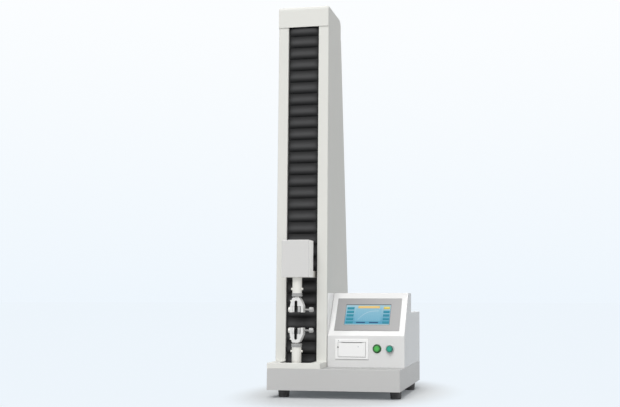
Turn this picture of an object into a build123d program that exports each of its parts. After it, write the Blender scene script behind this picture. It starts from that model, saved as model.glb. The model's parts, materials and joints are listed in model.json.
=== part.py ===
"""Single-column universal testing machine, built as separate pieces in one frame.

Millimetres, +Z up, front towards -Y. The origin is on the standing surface, under the centre of the base.
"""
import os
from math import atan2, cos, degrees, hypot, radians, sin, tan
from build123d import *

# Base
base_width = 450.0
base_depth = 460.0
base_height = 71.5
sheet = 2.0
edge_round = 1.5
foot_height = 27.0
foot_diameter = 40.0
foot_left_inset = 43.0
foot_right_inset = 23.0
foot_front_inset = 58.0
foot_rear_inset = 100.0
foot_taper = 2.0
foot_screw_diameter = 8.0
foot_screw_head_diameter = 14.0
foot_screw_head_height = 5.0
foot_screw_recess = 10.0
base_plate_thickness = 15.0
pad_height = 10.0
platform_thickness = 18.2
platform_lip = 16.0
platform_corner = 12.0

# Column
column_width = 182.0
column_setback = 93.0
column_depth_bottom = 361.0
column_depth_top = 190.5
column_height = 1191.0
slot_width = 110.0
slot_lip_depth = 28.0
bend_radius = 4.0
cap_height = 75.0
cap_overhang = 3.0
cap_wall = 3.0
cap_front_round = 13.0
cap_rear_round = 28.0
cap_side_round = 5.0

# Drive inside the column
spine_width = 120.0
spine_setback = 85.0
spine_depth = 62.0
spine_web = 14.0
spine_channel = 64.0
rail_width = 20.0
rail_height = 17.0
rail_end_margin = 14.0
screw_diameter = 25.0
lower_journal = 20.0
upper_journal = 17.0
screw_setback = 89.0
bearing_height = 34.0
upper_bearing_height = 26.0
pulley_width = 20.0
pulley_lift = 16.0
screw_pulley_diameter = 60.0
motor_pulley_diameter = 40.0
pulley_flange_height = 4.0
belt_width = 15.0
belt_thickness = 2.0
motor_size = 80.0
motor_corner = 8.0
motor_height = 130.0
encoder_diameter = 60.0
encoder_height = 26.0
motor_shaft = 14.0
motor_shaft_reach = 30.0
motor_inset_x = 72.2
motor_inset_y = 130.0
limit_switch_size = (18.0, 20.0, 40.0)
limit_switch_margin = 60.0

# Crosshead
crosshead_height = 303.7
arm_thickness = 22.0
carriage_width = 132.0
carriage_height = 126.0
carriage_thickness = 20.0
carriage_setback = 33.0
block_width = 40.0
block_length = 56.0
block_end_margin = 4.0
block_spine_gap = 5.5
nut_diameter = 36.0
nut_flange_diameter = 50.0
nut_flange_thickness = 10.0
nut_length = 56.0
nut_bracket_width = 48.0
nut_bracket_height = 46.0
nut_bracket_wall = 6.0
cover_width = 97.0
cover_depth = 57.5
cover_height = 126.0
cover_round = 4.0
cover_top_round = 3.0
load_axis_setback = 40.0
load_cell_diameter = 48.0
load_cell_height = 45.0

# Grips, one above the other on the load axis
grip_gap = 51.4
lower_grip_top = 134.0
grip_height = 50.0
grip_left_reach = 21.0
grip_right_reach = 25.0
grip_depth = 28.0
grip_neck_left = 12.0
grip_neck_right = 10.5
grip_neck_round = 4.0
grip_edge_round = 1.0
shoulder_low = 22.0
shoulder_bulge = 1.0
jaw_gap = 10.0
jaw_width = 24.0
jaw_recess = 1.0
pocket_height = 21.0
throat_height = 40.0
fixed_jaw_thickness = 8.0
moving_jaw_thickness = 9.0
jaw_open_room = 3.0
clamp_axis = 9.0
clamp_screw_diameter = 7.0
clamp_tip_diameter = 5.0
clamp_tip_length = 5.0
clamp_screw_reach = 18.0
clamp_knob_diameter = 17.0
clamp_knob_length = 14.2
jaw_bolt_diameter = 8.0
jaw_bolt_head_diameter = 18.0
jaw_bolt_head_height = 7.5
jaw_bolt_depth = 5.0
rod_diameter = 32.0
rod_stud_diameter = 12.0
rod_stud_depth = 7.5
rod_foot_stud_diameter = 16.0
rod_foot_stud_length = 14.0
lock_ring_diameter = 36.0
lock_ring_height = 11.5
lock_ring_gap = 3.0
cross_pin_diameter = 8.0
cross_pin_length = 41.0
cross_pin_offset = 14.0
cross_pin_chamfer = 0.75

# Bellows
bellows_width = 109.0
bellows_depth = 24.5
bellows_recess = 2.5
bellows_skin = 2.0
pleat_pitch = 41.36

# Console
console_gap = 0.8
console_setback = 98.0
fold_height = 105.7
console_height = 251.0
slope_depth = 88.0
console_top_depth = 64.0
rear_box_height = 183.0
overlay_width = 226.0
overlay_height = 128.0
overlay_thickness = 1.5
overlay_lift = 19.0
overlay_inset = 21.2
screen_inset = 32.0
screen_right_margin = 35.5
screen_lift = 22.5
screen_top_margin = 24.0
screen_flange = 8.0
screen_depth = 10.0

# Printer
printer_width = 116.0
printer_height = 67.6
printer_inset = 28.2
printer_lift = 27.0
printer_flange = 4.0
printer_depth = 50.0
printer_wall = 2.0
door_width = 94.5
door_height = 48.5
door_lift = 7.5
door_gap = 1.2
door_pin_diameter = 2.0
door_pin_inset = 2.0
door_pin_reach = 3.0
door_foot_round = 1.5
paper_slot_width = 73.0
paper_slot_height = 1.2
platen_diameter = 10.0
platen_length = 58.0
platen_shaft_diameter = 4.0
platen_setback = 6.0
platen_drop = 8.0
platen_ear_thickness = 2.0
platen_ear_overhang = 3.0
paper_roll_diameter = 38.0
paper_core_diameter = 13.0
paper_roll_width = 57.0

# Buttons
start_inset = 94.3
stop_inset = 50.0
button_lift = 62.8
bezel_diameter = 30.0
bezel_height = 3.0
sleeve_diameter = 26.0
sleeve_length = 24.0
sleeve_floor = 2.0
button_diameter = 22.0
button_length = 14.0
start_stand_out = 4.0
stop_stand_out = 10.0

# Electrics and rear panel
board_size = (120.0, 110.0, 1.6)
board_stand_off = 12.0
board_post_inset = 12.0
board_post_diameter = 6.0
board_inset_x = 85.0
board_inset_y = 117.0
chip_size = (24.0, 24.0, 4.0)
chip_pitch = 34.0
supply_size = (160.0, 80.0, 42.0)
supply_inset_x = 85.0
supply_inset_y = 46.0
inlet_width = 62.0
inlet_height = 32.0
inlet_depth = 30.0
inlet_lip = 2.0
inlet_inset = 75.0
inlet_lift = 100.0
socket_width = 24.0
socket_height = 17.0
socket_depth = 16.0
socket_pin = 2.0
socket_pin_height = 4.0
socket_pin_length = 10.0
socket_pin_pitch = 7.0
rocker_width = 12.0
rocker_height = 20.0
rocker_depth = 9.0
rocker_tilt = 8.0
rocker_pin_diameter = 3.0
cover_screw_diameter = 4.0
cover_screw_head_diameter = 8.0
cover_screw_head_height = 2.5
cover_screw_length = 10.0
cover_screw_inset = 16.0

# Clearances
fit_clearance = 0.05
run_clearance = 0.08
slide_clearance = 0.4
seat_clearance = 0.5
turn_clearance = 0.3
button_clearance = 0.2
pass_clearance = 6.0

# Levels and places that follow from the sizes
base_floor = foot_height
base_top = base_floor + base_height
base_front = -base_depth / 2
base_rear = base_depth / 2
base_left = -base_width / 2
base_right = base_width / 2
plate_top = base_top - sheet
plate_bottom = plate_top - base_plate_thickness
pad_top = plate_top + pad_height
platform_top = base_top + platform_thickness
column_left = base_left
column_right = column_left + column_width
column_axis = (column_left + column_right) / 2
column_front = base_front + column_setback
column_top = base_top + column_height
column_rear_bottom = column_front + column_depth_bottom
column_rear_top = column_front + column_depth_top
cap_top = column_top + cap_height
spine_front = column_front + spine_setback
spine_rear = spine_front + spine_depth
spine_top = column_top - sheet
web_front = spine_rear - spine_web
rail_offset = (spine_width / 2 + spine_channel / 2) / 2
rail_front = spine_front - rail_height
screw_y = column_front + screw_setback
load_y = base_front + load_axis_setback
arm_bottom = base_top + crosshead_height
arm_top = arm_bottom + arm_thickness
arm_width = cover_width - 2 * (sheet + seat_clearance)
arm_front = load_y - cover_depth / 2 + sheet + seat_clearance
cover_rear = load_y + cover_depth / 2
carriage_front = column_front + carriage_setback
carriage_rear = carriage_front + carriage_thickness
carriage_top = arm_bottom + carriage_height
pulley_bottom = base_floor + sheet + pulley_lift
pulley_top = pulley_bottom + pulley_width
belt_bottom = pulley_bottom + (pulley_width - belt_width) / 2
lower_jaw_end = base_top + lower_grip_top
upper_jaw_end = lower_jaw_end + grip_gap
bellows_front = column_front + bellows_recess
console_left = column_right + console_gap
console_front = base_front + console_setback
fold_z = base_top + fold_height
console_top = base_top + console_height
slope_rear = console_front + slope_depth
wedge_rear = slope_rear + console_top_depth
motor_x = console_left + motor_inset_x
motor_y = base_rear - motor_inset_y
rear_box_top = base_top + rear_box_height
slope_lean = degrees(atan2(slope_depth, console_height - fold_height))
printer_left = console_left + printer_inset
printer_bottom = base_top + printer_lift
door_left = printer_left + (printer_width - door_width) / 2
door_bottom = printer_bottom + door_lift
start_x = base_right - start_inset
stop_x = base_right - stop_inset
button_z = base_top + button_lift
inlet_x = base_right - inlet_inset
inlet_z = base_top + inlet_lift


def block(x, y, z):
    """A box from its low and high limits on each axis."""
    centre = Pos(sum(x) / 2, sum(y) / 2, sum(z) / 2)
    return centre * Box(abs(x[1] - x[0]), abs(y[1] - y[0]), abs(z[1] - z[0]))


def round_x(x, y, z, diameter):
    """A round bar along X between two X limits."""
    return Pos(sum(x) / 2, y, z) * Rot(0, 90, 0) * Cylinder(diameter / 2, abs(x[1] - x[0]))


def round_y(x, y, z, diameter):
    """A round bar along Y between two Y limits."""
    return Pos(x, sum(y) / 2, z) * Rot(90, 0, 0) * Cylinder(diameter / 2, abs(y[1] - y[0]))


def round_z(x, y, z, diameter):
    """A round bar along Z between two Z limits."""
    return Pos(x, y, sum(z) / 2) * Cylinder(diameter / 2, abs(z[1] - z[0]))


def side_shape(points, x):
    """A (Y, Z) outline drawn out along X between two limits."""
    return extrude(Plane.YZ.offset(x[0]) * Polygon(*points, align=None), x[1] - x[0], dir=(1, 0, 0))


def about(centre, size):
    """The two limits of a size centred on a place."""
    return centre - size / 2, centre + size / 2


foot_places = [(x, y) for x in (base_left + foot_left_inset, base_right - foot_right_inset)
               for y in (base_front + foot_front_inset, base_rear - foot_rear_inset)]


def base_housing():
    shell = block((base_left, base_right), (base_front, base_rear), (base_floor, base_top))
    shell = fillet(shell.edges().filter_by(Axis.Z), edge_round)
    shell = fillet(shell.edges().group_by(Axis.Z)[-1], edge_round)
    shell -= block((base_left + sheet, base_right - sheet), (base_front + sheet, base_rear - sheet),
                   (base_floor, plate_top))
    shell -= pad_block(seat_clearance)
    shell -= round_z(column_axis, screw_y, (plate_top, base_top), lower_journal + pass_clearance)
    return shell - round_z(motor_x, motor_y, (plate_top, base_top), motor_shaft + pass_clearance)


def base_bottom_plate():
    plate = block((base_left + sheet, base_right - sheet), (base_front + sheet, base_rear - sheet),
                  (base_floor, base_floor + sheet))
    for x, y in foot_places:
        plate -= round_z(x, y, (base_floor, base_floor + sheet), foot_screw_diameter + 2 * fit_clearance)
    return plate


def pad_block(room=0.0):
    """The raised pad of the base plate, which stands in the platform's opening."""
    half = slot_width / 2 - 2 * seat_clearance + room
    front = base_front + platform_lip + 2 * seat_clearance - room
    return block((column_axis - half, column_axis + half), (front, column_front - 2 * seat_clearance + room),
                 (plate_bottom, pad_top))


def base_plate():
    plate = block((base_left + sheet, base_right - sheet), (base_front + sheet, base_rear - sheet),
                  (plate_bottom, plate_top))
    pad = pad_block()
    plate += fillet(pad.edges().filter_by(Axis.Z).group_by(Axis.Y)[0], platform_corner - seat_clearance)
    plate -= round_z(column_axis, screw_y, (plate_bottom, plate_top), lower_journal + pass_clearance)
    plate -= round_z(motor_x, motor_y, (plate_bottom, plate_top), motor_shaft + pass_clearance)
    stud_hole = (pad_top - rod_foot_stud_length - seat_clearance, pad_top)
    return plate - round_z(column_axis, load_y, stud_hole, rod_foot_stud_diameter + 2 * fit_clearance)


def front_platform():
    plate = block((column_left, column_right), (base_front, column_front), (base_top, platform_top))
    outer = plate.edges().group_by(Axis.Z)[-1].sort_by(Axis.Y)[:-1]
    plate = fillet(outer, edge_round)
    opening = block(about(column_axis, slot_width), (base_front + platform_lip, column_front),
                    (base_top, platform_top))
    return plate - fillet(opening.edges().filter_by(Axis.Z).group_by(Axis.Y)[0], platform_corner)


def rubber_foot(x, y):
    foot = Pos(x, y, foot_height / 2) * Cone(foot_diameter / 2 - foot_taper, foot_diameter / 2, foot_height)
    foot -= round_z(x, y, (0, foot_screw_recess), foot_screw_head_diameter + 2 * seat_clearance)
    return foot - round_z(x, y, (0, foot_height), foot_screw_diameter + 2 * fit_clearance)


def foot_screw(x, y):
    head = round_z(x, y, (foot_screw_recess - foot_screw_head_height, foot_screw_recess),
                   foot_screw_head_diameter)
    return head + round_z(x, y, (foot_screw_recess, base_floor + sheet), foot_screw_diameter)


def column_left_panel():
    wall = side_shape([(column_front, base_top), (column_rear_bottom, base_top),
                       (column_rear_top, column_top), (column_front, column_top)],
                      (column_left, column_left + sheet))
    strip_edge = column_axis - slot_width / 2
    height = (base_top, column_top)
    panel = wall + block((column_left, strip_edge), (column_front, column_front + sheet), height)
    panel += block((strip_edge - sheet, strip_edge), (column_front, column_front + slot_lip_depth), height)
    uprights = panel.edges().filter_by(Axis.Z)
    outer_bend = uprights.sort_by_distance((column_left, column_front, (base_top + column_top) / 2))[0]
    panel = fillet(outer_bend, bend_radius)
    inner_corner = (column_left + sheet, column_front + sheet, (base_top + column_top) / 2)
    inner_bend = panel.edges().filter_by(Axis.Z).sort_by_distance(inner_corner)[0]
    panel = fillet(inner_bend, bend_radius - sheet)
    slot_corner = (strip_edge, column_front, (base_top + column_top) / 2)
    slot_bend = panel.edges().filter_by(Axis.Z).sort_by_distance(slot_corner)[0]
    return fillet(slot_bend, edge_round)


def column_rear_cover():
    lean = atan2(column_rear_bottom - column_rear_top, column_height)
    thick = sheet / cos(lean)
    return side_shape([(column_rear_bottom, base_top), (column_rear_top, column_top),
                       (column_rear_top - thick, column_top), (column_rear_bottom - thick, base_top)],
                      (column_left + sheet, column_right - sheet))


def rounded_cap(wall):
    """The cap's outer form, moved in by a wall on every side but its open foot."""
    body = block((column_left + wall, column_right - wall),
                 (column_front - cap_overhang + wall, column_rear_top - wall), (column_top, cap_top - wall))
    crown = body.edges().filter_by(Axis.X).group_by(Axis.Z)[-1].sort_by(Axis.Y)
    body = fillet(crown[0], cap_front_round - wall)
    crown = body.edges().filter_by(Axis.X).group_by(Axis.Z)[-1].sort_by(Axis.Y)
    return fillet(crown[-1], cap_rear_round - wall)


def column_top_cap():
    cap = rounded_cap(0)
    for face in (cap.faces().sort_by(Axis.X)[0], cap.faces().sort_by(Axis.X)[-1]):
        rim = [edge for edge in face.edges() if edge.center().Z > column_top + edge_round]
        cap = fillet(rim, cap_side_round)
    return cap - rounded_cap(cap_wall)


def column_spine():
    height = (base_top, spine_top)
    spine = block(about(column_axis, spine_width), (spine_front, spine_rear), height)
    return spine - block(about(column_axis, spine_channel), (spine_front, web_front), height)


def guide_rail(side):
    x = column_axis + side * rail_offset
    return block(about(x, rail_width), (rail_front, spine_front),
                 (base_top + rail_end_margin, spine_top - rail_end_margin))


def lower_screw_bearing():
    width = spine_channel - 2 * seat_clearance
    height = (base_top, base_top + bearing_height)
    body = block(about(column_axis, width), (spine_front, web_front - seat_clearance), height)
    return body - round_z(column_axis, screw_y, height, lower_journal + 2 * run_clearance)


def upper_screw_bearing():
    height = (spine_top, spine_top + upper_bearing_height)
    body = block(about(column_axis, spine_width), (spine_front - rail_height, spine_rear), height)
    return body - round_z(column_axis, screw_y, height, upper_journal + 2 * run_clearance)


def ball_screw():
    thread_bottom = base_top + bearing_height + turn_clearance
    thread_top = spine_top - turn_clearance
    screw = round_z(column_axis, screw_y, (thread_bottom, thread_top), screw_diameter)
    screw += round_z(column_axis, screw_y, (pulley_bottom, thread_bottom), lower_journal)
    journal_top = spine_top + upper_bearing_height
    return screw + round_z(column_axis, screw_y, (thread_top, journal_top), upper_journal)


def toothless_pulley(x, y, diameter):
    """A belt pulley with a flange above and below its face."""
    flange = (pulley_width - belt_width) / 2 - turn_clearance
    pulley = round_z(x, y, (pulley_bottom, pulley_top), diameter)
    rim = diameter + 2 * pulley_flange_height
    for low in (pulley_bottom, pulley_top - flange):
        pulley += round_z(x, y, (low, low + flange), rim)
    return pulley


def screw_pulley():
    pulley = toothless_pulley(column_axis, screw_y, screw_pulley_diameter)
    bore = lower_journal + 2 * fit_clearance
    return pulley - round_z(column_axis, screw_y, (pulley_bottom, pulley_top), bore)


def motor_pulley():
    pulley = toothless_pulley(motor_x, motor_y, motor_pulley_diameter)
    return pulley + round_z(motor_x, motor_y, (pulley_top, base_top + motor_shaft_reach), motor_shaft)


def drive_motor():
    top = base_top + motor_height
    motor = block(about(motor_x, motor_size), about(motor_y, motor_size), (base_top, top))
    motor = chamfer(motor.edges().filter_by(Axis.Z), motor_corner)
    motor += round_z(motor_x, motor_y, (top, top + encoder_height), encoder_diameter)
    bore = (base_top, base_top + motor_shaft_reach + seat_clearance)
    return motor - round_z(motor_x, motor_y, bore, motor_shaft + 2 * run_clearance)


def belt_outline(grow):
    """The belt's line round both pulleys, a set distance out from their faces."""
    rounds = Pos(column_axis, screw_y) * Circle(screw_pulley_diameter / 2 + grow)
    rounds += Pos(motor_x, motor_y) * Circle(motor_pulley_diameter / 2 + grow)
    return make_hull(rounds.edges())


def timing_belt():
    loop = belt_outline(turn_clearance + belt_thickness) - belt_outline(turn_clearance)
    return extrude(Pos(0, 0, belt_bottom) * loop, belt_width)


def limit_switch(z):
    width, depth, height = limit_switch_size
    side = column_axis - spine_width / 2
    return block((side - width, side), about((spine_front + spine_rear) / 2, depth), about(z, height))


def carriage_plate():
    depth = (carriage_front, carriage_rear)
    return block(about(column_axis, carriage_width), depth, (arm_bottom, carriage_top))


def bearing_block(side, low):
    x = column_axis + side * rail_offset
    shoe_rear = spine_front - block_spine_gap
    height = (low, low + block_length)
    shoe = block(about(x, block_width), (carriage_rear, shoe_rear), height)
    groove = (rail_front - slide_clearance, shoe_rear)
    return shoe - block(about(x, rail_width + 2 * slide_clearance), groove, height)


def nut_bracket():
    height = about((arm_bottom + carriage_top) / 2, nut_bracket_height)
    rear = screw_y + nut_diameter / 2 + nut_bracket_wall
    body = block(about(column_axis, nut_bracket_width), (carriage_rear, rear), height)
    return body - round_z(column_axis, screw_y, height, nut_diameter + 2 * fit_clearance)


def ball_nut():
    bracket_bottom = (arm_bottom + carriage_top) / 2 - nut_bracket_height / 2
    flange_bottom = bracket_bottom - nut_flange_thickness
    nut = round_z(column_axis, screw_y, (flange_bottom, flange_bottom + nut_length), nut_diameter)
    nut += round_z(column_axis, screw_y, (flange_bottom, bracket_bottom), nut_flange_diameter)
    return nut - round_z(column_axis, screw_y, (flange_bottom, flange_bottom + nut_length),
                         screw_diameter + 2 * run_clearance)


def crosshead_arm():
    arm = block(about(column_axis, arm_width), (arm_front, carriage_front), (arm_bottom, arm_top))
    return arm - round_z(column_axis, load_y, (arm_bottom, arm_top), rod_diameter + 2 * seat_clearance)


def load_cell():
    cell = round_z(column_axis, load_y, (arm_top, arm_top + load_cell_height), load_cell_diameter)
    cell = fillet(cell.edges().group_by(Axis.Z)[-1], edge_round)
    stud_room = (arm_top, arm_top + rod_foot_stud_length + seat_clearance)
    return cell - round_z(column_axis, load_y, stud_room, rod_foot_stud_diameter + 2 * fit_clearance)


def load_cell_cover():
    width = about(column_axis, cover_width)
    depth = about(load_y, cover_depth)
    top = arm_bottom + cover_height
    cover = block(width, depth, (arm_bottom, top))
    cover = fillet(cover.edges().filter_by(Axis.Z), cover_round)
    cover = fillet(cover.edges().group_by(Axis.Z)[-1], cover_top_round)
    cover -= block((width[0] + sheet, width[1] - sheet), (depth[0] + sheet, depth[1] - sheet),
                   (arm_bottom, top - sheet))
    arm_room = about(column_axis, arm_width + 2 * seat_clearance)
    return cover - block(arm_room, (cover_rear - cover_round, cover_rear), (arm_bottom, arm_top))


def span(jaw_end, up, low, high):
    """Z limits at two distances from a grip's jaw end, along its own direction."""
    return tuple(sorted((jaw_end + up * low, jaw_end + up * high)))


ring_low = grip_height + lock_ring_gap
ring_high = ring_low + lock_ring_height
rod_shoulder = ring_high + turn_clearance
pocket_left = column_axis - jaw_gap / 2 - fixed_jaw_thickness
pocket_right = column_axis + jaw_gap / 2 + moving_jaw_thickness + jaw_open_room
grip_left = column_axis - grip_left_reach
grip_right = column_axis + grip_right_reach


def grip_outline(jaw_end, up):
    """The grip's front outline: straight flanks at the jaws and slanting shoulders up to a rounded neck."""

    def at(x, h):
        return column_axis + x, jaw_end + up * h

    def flank(side, reach, neck):
        rise = grip_height - shoulder_low
        chord = hypot(reach - neck, rise)
        arch = ((reach + neck) / 2 + shoulder_bulge * rise / chord,
                shoulder_low + rise / 2 + shoulder_bulge * (reach - neck) / chord)
        straight = Line(at(side * reach, 0), at(side * reach, shoulder_low))
        return straight + ThreePointArc(at(side * reach, shoulder_low), at(side * arch[0], arch[1]),
                                        at(side * neck, grip_height))

    foot = Line(at(-grip_left_reach, 0), at(grip_right_reach, 0))
    top = Line(at(-grip_neck_left, grip_height), at(grip_neck_right, grip_height))
    right = flank(1, grip_right_reach, grip_neck_right)
    left = flank(-1, grip_left_reach, grip_neck_left)
    face = make_face(foot + right + top + left)
    levels = face.vertices().group_by(Axis.Y)
    return fillet(levels[-1] if up > 0 else levels[0], grip_neck_round)


def grip_body(jaw_end, up):
    depth = about(load_y, grip_depth)
    body = extrude(Plane.XZ.offset(-depth[0]) * grip_outline(jaw_end, up), grip_depth, dir=(0, 1, 0))
    faces = body.edges().group_by(Axis.Y)
    body = fillet(faces[0] + faces[-1], grip_edge_round)
    body -= block((pocket_left, pocket_right), depth, span(jaw_end, up, 0, pocket_height))
    throat_end = throat_height - jaw_gap / 2
    body -= block(about(column_axis, jaw_gap), depth, span(jaw_end, up, 0, throat_end))
    body -= round_y(column_axis, depth, jaw_end + up * throat_end, jaw_gap)
    stud_hole = span(jaw_end, up, grip_height - rod_stud_depth - seat_clearance, grip_height)
    body -= round_z(column_axis, load_y, stud_hole, rod_stud_diameter + 2 * fit_clearance)
    z = jaw_end + up * clamp_axis
    body -= round_x((grip_left, pocket_left), load_y, z, jaw_bolt_diameter + 2 * fit_clearance)
    return body - round_x((pocket_right, grip_right), load_y, z, clamp_screw_diameter + 2 * run_clearance)


def jaw_block(x, jaw_end, up):
    height = span(jaw_end, up, jaw_recess, pocket_height - seat_clearance)
    return block(x, about(load_y, jaw_width), height)


def fixed_jaw(jaw_end, up):
    jaw = jaw_block((pocket_left, column_axis - jaw_gap / 2), jaw_end, up)
    hole = (pocket_left, pocket_left + jaw_bolt_depth + seat_clearance)
    return jaw - round_x(hole, load_y, jaw_end + up * clamp_axis, jaw_bolt_diameter + 2 * fit_clearance)


def jaw_bolt(jaw_end, up):
    z = jaw_end + up * clamp_axis
    head = round_x((grip_left - jaw_bolt_head_height, grip_left), load_y, z, jaw_bolt_head_diameter)
    head = chamfer(head.edges().group_by(Axis.X)[0], edge_round)
    return head + round_x((grip_left, pocket_left + jaw_bolt_depth), load_y, z, jaw_bolt_diameter)


moving_jaw_face = column_axis + jaw_gap / 2
moving_jaw_back = moving_jaw_face + moving_jaw_thickness


def moving_jaw(jaw_end, up):
    jaw = jaw_block((moving_jaw_face, moving_jaw_back), jaw_end, up)
    socket = (moving_jaw_back - clamp_tip_length - turn_clearance, moving_jaw_back)
    return jaw - round_x(socket, load_y, jaw_end + up * clamp_axis, clamp_tip_diameter + 2 * run_clearance)


def clamp_screw(jaw_end, up):
    z = jaw_end + up * clamp_axis
    knob_start = grip_right + clamp_screw_reach
    knob = round_x((knob_start, knob_start + clamp_knob_length), load_y, z, clamp_knob_diameter)
    knob = chamfer(knob.edges().filter_by(GeomType.CIRCLE), edge_round)
    screw = knob + round_x((moving_jaw_back + turn_clearance, knob_start), load_y, z, clamp_screw_diameter)
    tip = (moving_jaw_back - clamp_tip_length, moving_jaw_back + turn_clearance)
    return screw + round_x(tip, load_y, z, clamp_tip_diameter)


def lock_ring(jaw_end, up):
    height = span(jaw_end, up, ring_low, ring_high)
    ring = round_z(column_axis, load_y, height, lock_ring_diameter)
    ring = chamfer(ring.edges().filter_by(GeomType.CIRCLE), edge_round)
    return ring - round_z(column_axis, load_y, height, rod_stud_diameter + 2 * run_clearance)


def grip_rod(jaw_end, up, far_end):
    rod = round_z(column_axis, load_y, sorted((jaw_end + up * rod_shoulder, far_end)), rod_diameter)
    grip_stud = span(jaw_end, up, grip_height - rod_stud_depth, rod_shoulder)
    rod += round_z(column_axis, load_y, grip_stud, rod_stud_diameter)
    foot_stud = sorted((far_end, far_end + up * rod_foot_stud_length))
    rod += round_z(column_axis, load_y, foot_stud, rod_foot_stud_diameter)
    z = jaw_end + up * (rod_shoulder + cross_pin_offset)
    return rod - round_x(about(column_axis, rod_diameter), load_y, z, cross_pin_diameter + 2 * fit_clearance)


def cross_pin(jaw_end, up):
    z = jaw_end + up * (rod_shoulder + cross_pin_offset)
    pin = round_x(about(column_axis, cross_pin_length), load_y, z, cross_pin_diameter)
    return chamfer(pin.edges().filter_by(GeomType.CIRCLE), cross_pin_chamfer)


def bellows(low, high, ridge):
    """A pleated strip between two levels, with its front folds a pitch apart from the ridge level."""
    first = int((low - ridge) // (pleat_pitch / 2)) + 1
    last = int((high - ridge) // (pleat_pitch / 2))
    if ridge + last * pleat_pitch / 2 >= high:
        last -= 1
    reach = bellows_depth - bellows_skin

    def fold(z):
        phase = ((z - ridge) / pleat_pitch) % 1.0
        return bellows_front + reach * (1 - abs(2 * phase - 1))

    levels = [low] + [ridge + step * pleat_pitch / 2 for step in range(first, last + 1)] + [high]
    front = [(fold(z), z) for z in levels]
    back = [(y + bellows_skin, z) for y, z in reversed(front)]
    return side_shape(front + back, about(column_axis, bellows_width))


def console_outline(inset):
    """The console's side outline, moved in by a wall, with an open foot."""
    low = base_top
    lean = radians(slope_lean)
    fold_drop = inset * tan(lean / 2)
    slope_shift = inset * (1 / cos(lean) - tan(lean))
    return [(console_front + inset, low), (console_front + inset, fold_z - fold_drop),
            (slope_rear + slope_shift, console_top - inset), (wedge_rear - inset, console_top - inset),
            (wedge_rear - inset, rear_box_top - inset), (base_rear - inset, rear_box_top - inset),
            (base_rear - inset, low)]


slope_plane = Plane(origin=(console_left, console_front, fold_z), x_dir=(1, 0, 0),
                    z_dir=(0, -cos(radians(slope_lean)), sin(radians(slope_lean))))


def on_slope(x, up, width, height, low, high):
    """A plate on the sloped panel, by its lower left corner and its distances out of the panel."""
    face = Pos(x + width / 2, up + height / 2, low) * Rectangle(width, height)
    return extrude(slope_plane * face, high - low)


screen_width = overlay_width - screen_inset - screen_right_margin
screen_height = overlay_height - screen_lift - screen_top_margin
screen_x = overlay_inset + screen_inset
screen_up = overlay_lift + screen_lift
sleeve_hole = sleeve_diameter + 2 * seat_clearance
bucket = ((printer_left + printer_flange + sheet, printer_left + printer_width - printer_flange - sheet),
          (printer_bottom + printer_flange + sheet, printer_bottom + printer_height - printer_flange - sheet))


def cover_screw_places():
    across = (console_left + cover_screw_inset, base_right - cover_screw_inset)
    along = (wedge_rear + cover_screw_inset, base_rear - cover_screw_inset)
    return [(x, y) for x in across for y in along]


def console_housing():
    shell = side_shape(console_outline(0), (console_left, base_right))
    bends = [edge for edge in shell.edges().filter_by(Axis.X) if edge.center().Z > base_top + sheet]
    shell = fillet(bends, bend_radius)
    for end in (0, -1):
        side = shell.faces().sort_by(Axis.X)[end]
        shell = fillet([edge for edge in side.edges() if edge.center().Z > base_top + sheet], edge_round)
    shell -= side_shape(console_outline(sheet), (console_left + sheet, base_right - sheet))
    room = seat_clearance
    shell -= on_slope(screen_x - room, screen_up - room, screen_width + 2 * room,
                      screen_height + 2 * room, -2 * sheet, sheet)
    (x0, x1), (z0, z1) = bucket
    front_wall = (console_front, console_front + sheet)
    shell -= block((x0 - room, x1 + room), front_wall, (z0 - room, z1 + room))
    for x in (start_x, stop_x):
        shell -= round_y(x, front_wall, button_z, sleeve_hole)
    shell -= block(about(inlet_x, inlet_width - 2 * inlet_lip), (base_rear - sheet, base_rear),
                   about(inlet_z, inlet_height - 2 * inlet_lip))
    for x, y in cover_screw_places():
        shell -= round_z(x, y, (rear_box_top - sheet, rear_box_top), cover_screw_diameter + 2 * fit_clearance)
    return shell


def screen_overlay():
    plate = on_slope(overlay_inset, overlay_lift, overlay_width, overlay_height, 0, overlay_thickness)
    room = fit_clearance
    return plate - on_slope(screen_x - room, screen_up - room, screen_width + 2 * room,
                            screen_height + 2 * room, 0, overlay_thickness)


def touch_screen():
    glass = on_slope(screen_x, screen_up, screen_width, screen_height, -sheet, overlay_thickness)
    module = on_slope(screen_x - screen_flange, screen_up - screen_flange, screen_width + 2 * screen_flange,
                      screen_height + 2 * screen_flange, -sheet - screen_depth, -sheet)
    return glass + module


door_front = console_front - printer_flange
door_pivot_y = door_front + printer_flange / 2
door_pivot_z = door_bottom + door_pin_inset
door_span = (door_left, door_left + door_width)
door_top = door_bottom + door_height
platen_y = console_front + platen_setback
platen_z = door_top - platen_drop
platen_x = sum(door_span) / 2
roll_y = console_front + printer_depth - printer_wall - paper_roll_diameter / 2 - turn_clearance
roll_z = bucket[1][0] + printer_wall + paper_roll_diameter / 2 + turn_clearance


def printer_housing():
    (x0, x1), (z0, z1) = bucket
    rear = console_front + printer_depth
    flange = block((printer_left, printer_left + printer_width), (door_front, console_front),
                   (printer_bottom, printer_bottom + printer_height))
    flange = fillet(flange.edges().group_by(Axis.Y)[0], edge_round)
    body = flange + block((x0, x1), (console_front, rear), (z0, z1))
    body -= block((x0 + printer_wall, x1 - printer_wall), (console_front, rear - printer_wall),
                  (z0 + printer_wall, z1 - printer_wall))
    door_sides = (door_span[0] - door_gap, door_span[1] + door_gap)
    body -= block(door_sides, (door_front, console_front), (door_bottom - door_gap, door_top + door_gap))
    reach = door_pin_reach + seat_clearance
    return body - round_x((door_span[0] - reach, door_span[1] + reach), door_pivot_y, door_pivot_z,
                          door_pin_diameter + 2 * run_clearance)


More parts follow.
